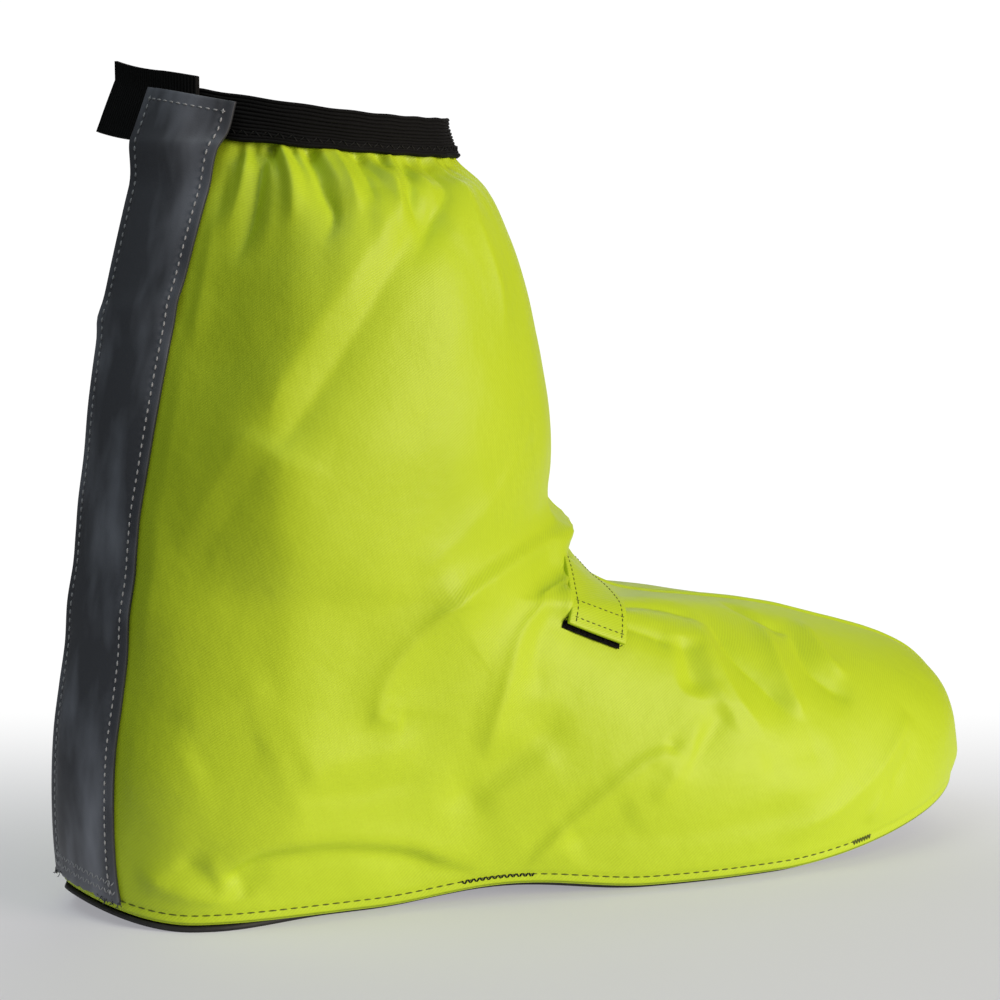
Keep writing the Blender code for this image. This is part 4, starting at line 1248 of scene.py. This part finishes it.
def elastic_points(shares, lift):
    """Points round the band; a share runs from its lower edge, 0, to its upper edge, 1."""
    turns = np.arange(ELASTIC_COLUMNS) / ELASTIC_COLUMNS
    shares = np.reshape(shares, (-1, 1))
    drift = RIPPLE_DRIFT * np.sin(2 * math.pi * DRIFTS_ROUND * turns)
    wave = np.sin(2 * math.pi * (RIPPLES * turns + drift))
    low = 1.0 - np.minimum(shares / EDGE_SHARE, 1.0)
    level = TOP_LEVEL - (TOP_LEVEL - ELASTIC_FROM_LEVEL) * low * (1.0 + RIPPLE_SHARE * wave)
    rippled = lift + (RIPPLE_LIFT[0] + RIPPLE_LIFT[1] * low) * (1.0 + wave) / 2
    points = surface(level, turns) + rippled[..., None] * outward(level, np.broadcast_to(turns, level.shape))
    above = ELASTIC_ABOVE_EDGE * np.maximum(shares - EDGE_SHARE, 0.0) / (1.0 - EDGE_SHARE)
    points[..., 2] += above + TOP_RIPPLE * wave * (1.0 - low)
    return points


def make_elastic():
    """The band below the ribs, closed all round."""
    shares = np.linspace(0.0, 1.0, ELASTIC_ROWS)
    points = np.concatenate([elastic_points(shares, RIB_LIFT), elastic_points(shares[::-1], GAP)])
    faces = grid_faces(len(points), ELASTIC_COLUMNS, closed=True, closed_rows=True)
    return add_mesh("collar_elastic_band", points, faces.tolist(), [ELASTIC_YARN])


settle(make_elastic(), "collar_elastic")
ribs = elastic_points((np.arange(ELASTIC_RIBS) + 0.5) / ELASTIC_RIBS, RIB_LIFT)
lay_cords("collar_elastic_ribs", ribs, ELASTIC_YARN, RIB_RADIUS, closed=True)
zigzag = elastic_points([ZIGZAG_SHARE], GAP + ELASTIC_THICKNESS)[0]
sew("collar_zigzag", "ribbed_elastic", [zigzag], [unit(zigzag - zigzag.mean(axis=0))], BLACK_THREAD,
    pitch=1.8, fill=0.95, thickness=0.35, sway=0.9)

# %% [markdown]
# ## Collar tab
# A webbing tab sticks out behind the strip: it is the end of the fastener that closes the collar.
# Webbing has ribs across it, again laid as cords on a thin sheet.

# %% Collar tab
TAB_THICKNESS, TAB_INNER_REACH, TAB_OUTER_REACH = 1.5, 14.0, 23.0
TAB_FROM_LEVEL, TAB_ABOVE_EDGE, TAB_BOW, TAB_RISE = 14.6, 5.5, 1.2, 1.5
TAB_ROWS, TAB_COLUMNS, TAB_RIBS, TAB_RIB_RADIUS, TAB_RIB_INSET = 14, 26, 34, 0.42, 0.6
TAB_TOP = GAP + ELASTIC_THICKNESS + LAYER_GAP + TAB_THICKNESS - TAB_RIB_RADIUS


def tab_points(count, inset):
    """Points of the tab's face below its ribs, in rows from its lower edge to its upper edge."""
    distances = np.linspace(-TAB_OUTER_REACH + inset, TAB_INNER_REACH - inset, count)
    levels = np.append(np.linspace(TAB_FROM_LEVEL, TOP_LEVEL, TAB_ROWS), (TOP_LEVEL, TOP_LEVEL))
    rises = np.append(np.zeros(TAB_ROWS), (TAB_ABOVE_EDGE / 2, TAB_ABOVE_EDGE))
    points = np.array([flap_row(level, distances, TAB_TOP, rise) for level, rise in zip(levels, rises)])
    past = np.clip(-distances / TAB_OUTER_REACH, 0.0, 1.0)
    points[..., 1] += TAB_BOW * np.sin(math.pi * past)
    points[..., 2] += TAB_RISE * past**2
    return points


tab = add_sheet("fastener_tab", tab_points(TAB_COLUMNS, inset=0.0), TAB_THICKNESS - TAB_RIB_RADIUS,
                [WEBBING_YARN], softness=0.3)
settle(tab, "collar_tab")
tab_ribs = np.swapaxes(tab_points(TAB_RIBS, TAB_RIB_INSET), 0, 1)
lay_cords("fastener_tab_ribs", tab_ribs, WEBBING_YARN, TAB_RIB_RADIUS)

# %% [markdown]
# ## Reflective strip
# The strip is a stiff tape full of tiny glass beads. By daylight it is slate grey. Its satin
# shine that drifts along it is painted into its colour as pale streaks, and its gloss drifts a
# little with them. It is sewn down 3 mm inside its edges, it has a soft crease where the shaft
# leans over, and its cut lower end frays.

# %% Reflective tape
# the tape's colour runs between two slates in streaks; the paler one is painted sheen
SLATE, DARK_SLATE, PAINTED_SHEEN_SLATE = (0.05, 0.055, 0.065), (0.066, 0.070, 0.083), (0.240, 0.257, 0.304)
STREAK_TURN_DEG, STREAK_STRETCH, STREAK_SIZE = -28.0, 0.35, 0.016
TAPE_WAVE_SIZE, TAPE_WAVE_DEPTH, BEAD_SIZE, BEAD_DEPTH = 0.012, 0.0006, 0.00045, 0.00004


def reflective_tape():
    """Slate grey tape with beads too small to see singly, and a drifting satin sheen painted into its colour.
    """
    material, tree, shader = new_material("reflective_tape", SLATE, roughness=0.4, specular=0.4)
    drawn = add_node(tree, "ShaderNodeMapping", {
        "Vector": cloth_place(tree), "Rotation": (0.0, 0.0, math.radians(STREAK_TURN_DEG)),
        "Scale": (1.0, STREAK_STRETCH, 1.0)}).outputs["Vector"]
    streaks = add_noise(tree, drawn, STREAK_SIZE, detail=3.0)
    # pale streaks of painted sheen in the colour, with a gloss that follows them a little
    painted_sheen = colour_ramp(tree, streaks, DARK_SLATE, PAINTED_SHEEN_SLATE, start=0.44, end=0.80)
    connect(tree, shader, {"Base Color": painted_sheen, "Roughness": value_range(tree, streaks, 0.50, 0.36)})
    place = object_place(tree)
    waves = add_bump(tree, shader, add_noise(tree, place, TAPE_WAVE_SIZE), TAPE_WAVE_DEPTH, strength=0.5)
    add_bump(tree, shader, add_noise(tree, place, BEAD_SIZE), BEAD_DEPTH, strength=0.7, under=waves)
    return material


TAPE = reflective_tape()
TAPE_EDGE = make_thread("tape_cut_edge", (0.035, 0.037, 0.042))
print("tape beads", BEAD_SIZE / MM, "mm")

# %% Reflective strip
STRIP_THICKNESS, STRIP_FROM_LEVEL, STRIP_LIFT_START_LEVEL = 1.0, 0.2, 13.6
STRIP_ROWS, STRIP_COLUMN_STEP = 190, 1.0
STRIP_CREASE, STRIP_CREASE_LEVEL, CREASE_SLANT, CREASE_HALF = 0.9, 12.0, 0.01, 0.16
STRIP_GROOVE, STRIP_GROOVE_HALF, STRIP_MARGIN = 0.25, 0.7, 3.0
STRIP_EDGES = (-STRIP_OVERHANG, STRIP_WIDTH - STRIP_OVERHANG)
RAGGED_SEED, RAGGED_END = 8, (-0.9, 0.3)


def strip_lift(level, distances, groove=0.0):
    """Height of the strip's face over the last, with its crease and its stitched grooves."""
    layers = ELASTIC_THICKNESS + TAB_THICKNESS + 2 * LAYER_GAP
    lift = GAP + STRIP_THICKNESS + layers * smooth_step(level, STRIP_LIFT_START_LEVEL, TAB_FROM_LEVEL)
    lift = lift + STRIP_CREASE * hump(level - STRIP_CREASE_LEVEL - CREASE_SLANT * distances, CREASE_HALF)
    for edge in STRIP_EDGES:
        lift = lift - groove * hump(np.abs(distances - edge) - STRIP_MARGIN, STRIP_GROOVE_HALF)
    return lift


def strip_points(levels, distances, groove=0.0):
    """Rows of points on the strip's face."""
    distances = np.asarray(distances, dtype=float)
    return np.array([flap_row(level, distances, strip_lift(level, distances, groove)) for level in levels])


def make_strip():
    """The strip's sheet, with a ragged lower end."""
    levels = np.linspace(STRIP_FROM_LEVEL, TOP_LEVEL, STRIP_ROWS)
    distances = np.append(np.arange(*STRIP_EDGES, STRIP_COLUMN_STEP), STRIP_EDGES[1])
    points = strip_points(levels, distances, STRIP_GROOVE)
    draw = np.random.default_rng(RAGGED_SEED)
    points[0, :, 2] += draw.uniform(*RAGGED_END, len(distances))
    return add_sheet(
        "reflective_tape_strip", points, STRIP_THICKNESS, [TAPE, TAPE_EDGE], softness=0.2, rim=1)


settle(make_strip(), "reflective_strip")

# %% Strip stitching
STRIP_SEAMS = (STRIP_EDGES[0] + STRIP_MARGIN, STRIP_EDGES[1] - STRIP_MARGIN)
STRIP_SEAM_LEVELS = np.linspace(0.4, TOP_LEVEL - 0.28, 160)
END_TACK_LEVELS, END_TACK_REACH, TOP_SEAM_POINTS = (0.42, 0.62), np.linspace(-1.5, 25.5, 40), 24
STRIP_MIDDLE_LEVEL, STRIP_MIDDLE_TURN = 8.0, 0.03
STRIP_FACING = outward(STRIP_MIDDLE_LEVEL, np.array(STRIP_MIDDLE_TURN))
FRAY_COUNT, FRAY_SEED, FRAY_RADIUS, FRAY_LIMITS = 26, 3, 0.11, (-2.8, 26.8)
FRAY_MIDDLE, FRAY_AWAY, FRAY_BEND, FRAY_STEPS = 12.0, (13.0, 2.5), 0.4, np.linspace(0.0, 1.0, 5)
FRAY_ROOT_LEVEL, FRAY_ROOT_SINK = STRIP_FROM_LEVEL + 0.05, (0.0, 0.4, 0.0)
FRAY_FALL = ((-1.4, 1.4), (-0.9, 0.2), (0.8, 2.0))


def sew_on_strip(name, lines, **stitch):
    """Grey stitches along lines on the strip, which faces the outer side of the back."""
    normals = [np.tile(STRIP_FACING, (len(line), 1)) for line in lines]
    return sew(name, "reflective_tape", lines, normals, GREY_THREAD, **stitch)


seam_lines = [strip_points(STRIP_SEAM_LEVELS, [seam])[:, 0] for seam in STRIP_SEAMS]
seam_lines.append(strip_points(STRIP_SEAM_LEVELS[-1:], np.linspace(*STRIP_SEAMS, TOP_SEAM_POINTS))[0])
sew_on_strip("strip_stitches", seam_lines, pitch=2.5, fill=0.66, thickness=0.6)
end_lines = [strip_points([level], END_TACK_REACH)[0] for level in END_TACK_LEVELS]
sew_on_strip("strip_end_tacks", end_lines, pitch=1.1, fill=0.95, thickness=0.4, sway=0.9)


def frayed_threads():
    """Loose threads that hang from the strip's cut lower end."""
    draw = np.random.default_rng(FRAY_SEED)
    lines = []
    for _ in range(FRAY_COUNT):
        side = draw.choice((-1.0, 1.0))
        place = np.clip(FRAY_MIDDLE + side * abs(draw.normal(*FRAY_AWAY)), *FRAY_LIMITS)
        root = strip_points([FRAY_ROOT_LEVEL], [place])[0, 0] + np.array(FRAY_ROOT_SINK)
        fall = np.array([draw.uniform(*span) for span in FRAY_FALL]) * (1.0, 1.0, -1.0)
        bend = draw.normal(0.0, FRAY_BEND, 3)
        lines.append([root + fall * t + bend * math.sin(math.pi * t) for t in FRAY_STEPS])
    return lines


lay_cords("strip_frayed_end", frayed_threads(), TAPE_EDGE, FRAY_RADIUS)

# %% [markdown]
# ## Instep strap
# The strap keeps the cover tight over the foot. It is laid by rays from a line inside the foot:
# each ray finds the last, and a smooth curve just clear of the highest hits pulls the strap
# taut. The strap is the same twill folded double, with a box of small stitches at its end.

# %% Instep strap
STRAP_THICKNESS, STRAP_OUTER_DEG, STRAP_INNER_DEG = 1.4, 60.0, -70.0
STRAP_SEAT_LIFT, TAPE_SEAT_LIFT, STRAP_CLIMB_DEG = 0.4, 0.6, (16.0, 38.0)
HOOK_TAPE_THICKNESS, HOOK_TAPE_FROM_DEG, HOOK_TAPE_PAST_END_DEG = 1.2, 38.0, 1.3
HOOK_TAPE_BACK_MARGIN, HOOK_TAPE_FRONT_MARGIN = 0.5, 0.5
STRAP_TUCK_DEPTH, STRAP_TUCK_FROM = 5.0, (-1.0, 5.0)
STRAP_ROWS, STRAP_COLUMNS = 70, 15


def strap_rays(degrees):
    """Directions from the core line, turned from the crest towards the outer end."""
    angles = np.radians(degrees)[:, None]
    _, _, upward, sideward = strap_axes()
    return upward * np.cos(angles) + sideward * np.sin(angles)


def instep_distances(degrees, offsets):
    """Distances from the strap's core line out to the last."""
    core, across = strap_axes()[:2]
    found = [[LAST_TREE.ray_cast(Vector(core + offset * across), Vector(ray))[3] for offset in offsets]
             for ray in strap_rays(degrees)]
    return np.array(found)


def strap_points(degrees, offsets, distances):
    """Points at given distances from the strap's core line."""
    core, across = strap_axes()[:2]
    starts = core + np.asarray(offsets)[:, None] * across
    return starts[None, :, :] + distances[:, :, None] * strap_rays(degrees)[:, None, :]


def cross_2d(first, second):
    """Cross product of vectors in a plane."""
    return first[..., 0] * second[..., 1] - first[..., 1] * second[..., 0]


def pulled_taut(degrees, distances):
    """Distances of a band pulled tight over the last: the outer hull of each column of hits."""
    angles = np.radians(degrees)
    rays = np.stack([np.sin(angles), np.cos(angles)], axis=-1)
    taut = np.zeros_like(distances)
    for j, column in enumerate(distances.T):
        hull = []
        for hit in (rays * column[:, None])[np.argsort(angles)]:
            while len(hull) > 1 and cross_2d(hull[-1] - hull[-2], hit - hull[-2]) >= 0.0:
                hull.pop()
            hull.append(hit)
        hull = np.array(hull)
        place = np.searchsorted(np.arctan2(hull[:, 0], hull[:, 1]), angles, side="right")
        start = np.clip(place - 1, 0, len(hull) - 2)
        edge = hull[start + 1] - hull[start]
        taut[:, j] = cross_2d(hull[start], edge) / cross_2d(rays, edge)
    return taut


def strap_face(degrees, offsets):
    """Distances of the strap's outer face: pulled taut, raised over the hook tape, tucked under the roll."""
    taut = pulled_taut(degrees, instep_distances(degrees, offsets))
    seat = STRAP_SEAT_LIFT + (HOOK_TAPE_THICKNESS + GAP) * smooth_step(degrees, *STRAP_CLIMB_DEG)
    sideward = taut * np.sin(np.radians(degrees))[:, None]
    tucked = under_roll(sideward) * smooth_step(-offsets, *STRAP_TUCK_FROM)
    return taut + seat[:, None] + STRAP_THICKNESS - STRAP_TUCK_DEPTH * tucked


strap_degrees = np.linspace(STRAP_OUTER_DEG, STRAP_INNER_DEG, STRAP_ROWS)
strap_offsets = np.linspace(-STRAP_WIDTH / 2, STRAP_WIDTH / 2, STRAP_COLUMNS)
strap_distances = strap_face(strap_degrees, strap_offsets)
strap_grid = strap_points(strap_degrees, strap_offsets, strap_distances)
STRAP_FABRIC = coated_twill("strap_twill")
strap = add_sheet("instep_strap_band", strap_grid, STRAP_THICKNESS, [STRAP_FABRIC], softness=0.35)
settle(strap, "instep_strap")

# %% Strap stitching
STRAP_SEAMS, STRAP_SEAM_DEG = (-7.8, 8.2), np.linspace(STRAP_OUTER_DEG - 2.0, -68.0, 120)
STRAP_BOX_DEG, BOX_POINTS = (STRAP_OUTER_DEG - 3.0, STRAP_OUTER_DEG - 9.5), 20


def strap_line(degrees, offsets):
    """A line on the strap's face, through places given by degree and offset."""
    degrees, offsets = np.broadcast_arrays(np.asarray(degrees, dtype=float), np.asarray(offsets, dtype=float))
    down = np.argsort(strap_degrees)
    reach = []
    for degree, offset in zip(degrees, offsets):
        column = [np.interp(degree, strap_degrees[down], distances[down]) for distances in strap_distances.T]
        reach.append(np.interp(offset, strap_offsets, column))
    core, across = strap_axes()[:2]
    rays = strap_rays(degrees)
    return core + offsets[:, None] * across + np.array(reach)[:, None] * rays, rays


box_lines = [strap_line(STRAP_SEAM_DEG, offset) for offset in STRAP_SEAMS]
for degree in STRAP_BOX_DEG:
    box_lines.append(strap_line(np.full(BOX_POINTS, degree), np.linspace(*STRAP_SEAMS, BOX_POINTS)))
sew("strap_stitches", "strap_fabric", *zip(*box_lines), OLIVE_THREAD, pitch=1.9, fill=0.7, thickness=0.42)

# %% [markdown]
# ## Hook tape
# Under the strap's end a black tape with tiny plastic hooks grips the cloth. The hook tree
# scatters bent hooks over its base; only its edges show, as a dark shaggy line.

# %% Hook tape
HOOK_HEIGHT, HOOK_RADIUS, HOOKS_PER_MM2 = 0.8, 0.11, 1.3
HOOK_BLACK, HOOK_GRAIN, HOOK_GRAIN_DEPTH = (0.003, 0.003, 0.003), 0.0006, 0.0001
TAPE_ROWS, TAPE_COLUMNS, TAPE_BASE = 20, 18, HOOK_TAPE_THICKNESS - HOOK_HEIGHT


def hook_plastic():
    """Dull black plastic."""
    material, tree, shader = new_material("hook_plastic", HOOK_BLACK, roughness=0.9, specular=0.15)
    grain = add_noise(tree, object_place(tree), HOOK_GRAIN)
    add_bump(tree, shader, grain, HOOK_GRAIN_DEPTH, strength=0.5)
    return material


PLASTIC = hook_plastic()
tape_degrees = np.linspace(STRAP_OUTER_DEG + HOOK_TAPE_PAST_END_DEG, HOOK_TAPE_FROM_DEG, TAPE_ROWS)
tape_offsets = np.linspace(
    -STRAP_WIDTH / 2 - HOOK_TAPE_BACK_MARGIN, STRAP_WIDTH / 2 - HOOK_TAPE_FRONT_MARGIN, TAPE_COLUMNS)
tape_face = instep_distances(tape_degrees, tape_offsets) + TAPE_SEAT_LIFT + TAPE_BASE
tape_grid = strap_points(tape_degrees, tape_offsets, tape_face)
tape_base = add_sheet("hook_tape_pad", tape_grid, TAPE_BASE, [PLASTIC], softness=0.15)
settle(tape_base, "instep_hook_tape")
field = add_mesh("hook_tape_hooks", tape_grid, grid_faces(*tape_grid.shape[:2]).tolist(), [PLASTIC])
hooks = {"Density": HOOKS_PER_MM2 / MM**2, "Height": HOOK_HEIGHT * MM, "Radius": HOOK_RADIUS * MM}
settle(grown(field, HOOKS, {**hooks, "Plastic": PLASTIC}))

# %% [markdown]
# ## Camera, floor and light
# The camera stands where the reference was taken from: a little behind the shoe's outer side,
# just above it, with a long lens. The floor is a round paper sweep that curls up far away, so no
# view has a horizon. The paper glows with painted light, dimly in a lane round the shoe and
# brightly far behind it. A large soft lamp on the front right models the folds, and weaker lamps
# on the left and behind keep the shadows open.

# %% Camera
CAMERA_AZIMUTH_DEG, CAMERA_ELEVATION_DEG = -22.0, 8.15
CAMERA_DISTANCE, CAMERA_NEAREST = 0.80, 0.01
CAMERA_TARGET = Vector(to_world((146.7, 0.0, 115.2)))
CAMERA_FOCUS_PIXELS, IMAGE_PIXELS, SENSOR_MM = 2582.6, 1000, 36.0


def direction(azimuth_deg, elevation_deg):
    """Unit vector from the object towards an azimuth, counted from -Y towards +X, and an elevation."""
    azimuth, elevation = math.radians(azimuth_deg), math.radians(elevation_deg)
    flat = math.cos(elevation)
    return Vector((math.sin(azimuth) * flat, -math.cos(azimuth) * flat, math.sin(elevation)))


def aimed_at_shoe(name, data, azimuth_deg, elevation_deg, distance):
    """A camera or a lamp that stands at a distance from the shoe and points at it."""
    placed = bpy.data.objects.new(name, data)
    away = direction(azimuth_deg, elevation_deg)
    placed.location = CAMERA_TARGET + distance * away
    placed.rotation_euler = away.to_track_quat("Z", "Y").to_euler()
    bpy.context.scene.collection.objects.link(placed)
    return placed


def make_camera():
    """The camera of the reference view."""
    lens = bpy.data.cameras.new("camera")
    lens.sensor_width = SENSOR_MM
    lens.lens = CAMERA_FOCUS_PIXELS / IMAGE_PIXELS * SENSOR_MM
    lens.clip_start = CAMERA_NEAREST
    placed = aimed_at_shoe("camera", lens, CAMERA_AZIMUTH_DEG, CAMERA_ELEVATION_DEG, CAMERA_DISTANCE)
    bpy.context.scene.camera = placed
    return placed


camera = make_camera()
print("lens", round(camera.data.lens, 1), "mm at", [round(v, 3) for v in camera.location])

# %% Floor paper
LANE_SLOPE, LANE_START, LANE_BACK, FRONT_SHARE = (0.215, 0.42), (0.46, 0.62), (0.76, 1.05), 0.42
# tone and painted glow of the paper beside the lane, in the lane round the shoe, and far behind it
PAPER_TONES = ((0.20, 0.20, 0.20), (0.44, 0.44, 0.44), (0.0, 0.0, 0.0))
PAINTED_PAPER_GLOWS = ((0.0, 0.0, 0.0), (0.31, 0.31, 0.33), (1.04, 1.04, 1.04))


def floor_paper():
    """Paper that glows white with painted light in a lane widening away from the camera, grey beside it."""
    paper, tree, shader = new_material("floor_paper", (0.9, 0.9, 0.9), roughness=0.9, specular=0.0)
    stand = (camera.location.x, camera.location.y, 0.0)
    seen = vector_maths(tree, "SUBTRACT", object_place(tree), stand)
    depth, side = (
        vector_maths(tree, "DOT_PRODUCT", seen, direction(CAMERA_AZIMUTH_DEG + turn_deg, 0.0), output="Value")
        for turn_deg in (180.0, 90.0))
    slope = number_maths(tree, "ABSOLUTE", number_maths(tree, "DIVIDE", side, depth))
    fades = []
    for value, (start, end) in ((slope, LANE_SLOPE[::-1]), (depth, LANE_START), (depth, LANE_BACK)):
        fade = add_node(tree, "ShaderNodeMapRange", {"Value": value, "From Min": start, "From Max": end},
                        interpolation_type="SMOOTHSTEP")
        fades.append(fade.outputs["Result"])
    in_lane = number_maths(tree, "MULTIPLY", *fades[:2])
    lane = number_maths(tree, "MULTIPLY", in_lane, value_range(tree, fades[2], FRONT_SHARE, 1.0))
    # the glow is painted light: a dim pool in the lane round the shoe and a bright glow far behind it
    for socket, stops in (("Base Color", PAPER_TONES), ("Emission Color", PAINTED_PAPER_GLOWS)):
        tone = colour_ramp(tree, lane, stops[0], stops[-1])
        tone.node.color_ramp.elements.new(FRONT_SHARE).color = (*stops[1], 1.0)
        connect(tree, shader, {socket: tone})
    connect(tree, shader, {"Emission Strength": 1.0})
    paper.cycles.emission_sampling = "NONE"
    return paper


PAPER = floor_paper()
print("paper lane starts", LANE_START[0], "m in front of the camera")

# %% Floor and light
SWEEP_RADIUS, SWEEP_CURL, SWEEP_HEIGHT, SWEEP_MIDDLE_SHARE = 3.0, 1.2, 3.2, 0.02
SWEEP_RINGS, CURL_RINGS, SWEEP_SPOKES = 12, 10, 96
SKY_STRENGTH = 0.12
# name, azimuth and elevation in degrees, distance and size in metres, power in watts, colour
LAMPS = (
    ("key_lamp", 36.0, 7.0, 2.2, 1.1, 60.0, (1.0, 0.88, 0.77)),
    ("front_lamp", -15.0, 36.0, 1.8, 1.1, 4.5, (0.95, 1.0, 1.0)),
    ("side_lamp", -75.0, 66.0, 1.7, 0.9, 6.0, (0.88, 1.0, 1.0)),
    ("back_lamp", 150.0, 40.0, 1.9, 1.4, 4.0, (1.0, 0.99, 0.96)),
)


def make_floor():
    """A round paper sweep, flat in the middle and curled up at its far rim."""
    profile = [(SWEEP_RADIUS * t, 0.0) for t in np.linspace(SWEEP_MIDDLE_SHARE, 1.0, SWEEP_RINGS)]
    for angle in np.linspace(0.0, math.pi / 2, CURL_RINGS)[1:]:
        profile.append((SWEEP_RADIUS + SWEEP_CURL * math.sin(angle), SWEEP_CURL * (1.0 - math.cos(angle))))
    profile.append((SWEEP_RADIUS + SWEEP_CURL, SWEEP_HEIGHT))
    spokes = np.linspace(0.0, 2 * math.pi, SWEEP_SPOKES, endpoint=False)
    points = [(r * math.cos(a), r * math.sin(a), z) for r, z in profile for a in spokes]
    faces = grid_faces(len(profile), SWEEP_SPOKES, closed=True).tolist()
    faces.append(tuple(range(SWEEP_SPOKES))[::-1])
    mesh = bpy.data.meshes.new("floor")
    mesh.from_pydata(points, [], faces)
    mesh.materials.append(PAPER)
    mesh.shade_smooth()
    floor = bpy.data.objects.new("floor", mesh)
    bpy.context.scene.collection.objects.link(floor)


def make_lamp(name, azimuth_deg, elevation_deg, distance, size, power, colour):
    """A square soft lamp aimed at the shoe."""
    light = bpy.data.lights.new(name, "AREA")
    light.size = size
    light.energy = power
    light.color = colour
    return aimed_at_shoe(name, light, azimuth_deg, elevation_deg, distance)


def make_world():
    """An even white sky over the sweep."""
    world = bpy.data.worlds.new("studio")
    world.use_nodes = True
    sky = {"Color": (1.0, 1.0, 1.0, 1.0), "Strength": SKY_STRENGTH}
    connect(world.node_tree, world.node_tree.nodes["Background"], sky)
    bpy.context.scene.world = world


make_floor()
for lamp in LAMPS:
    make_lamp(*lamp)
make_world()
bpy.context.scene.view_settings.view_transform = "Standard"
print(len(LAMPS), "lamps")
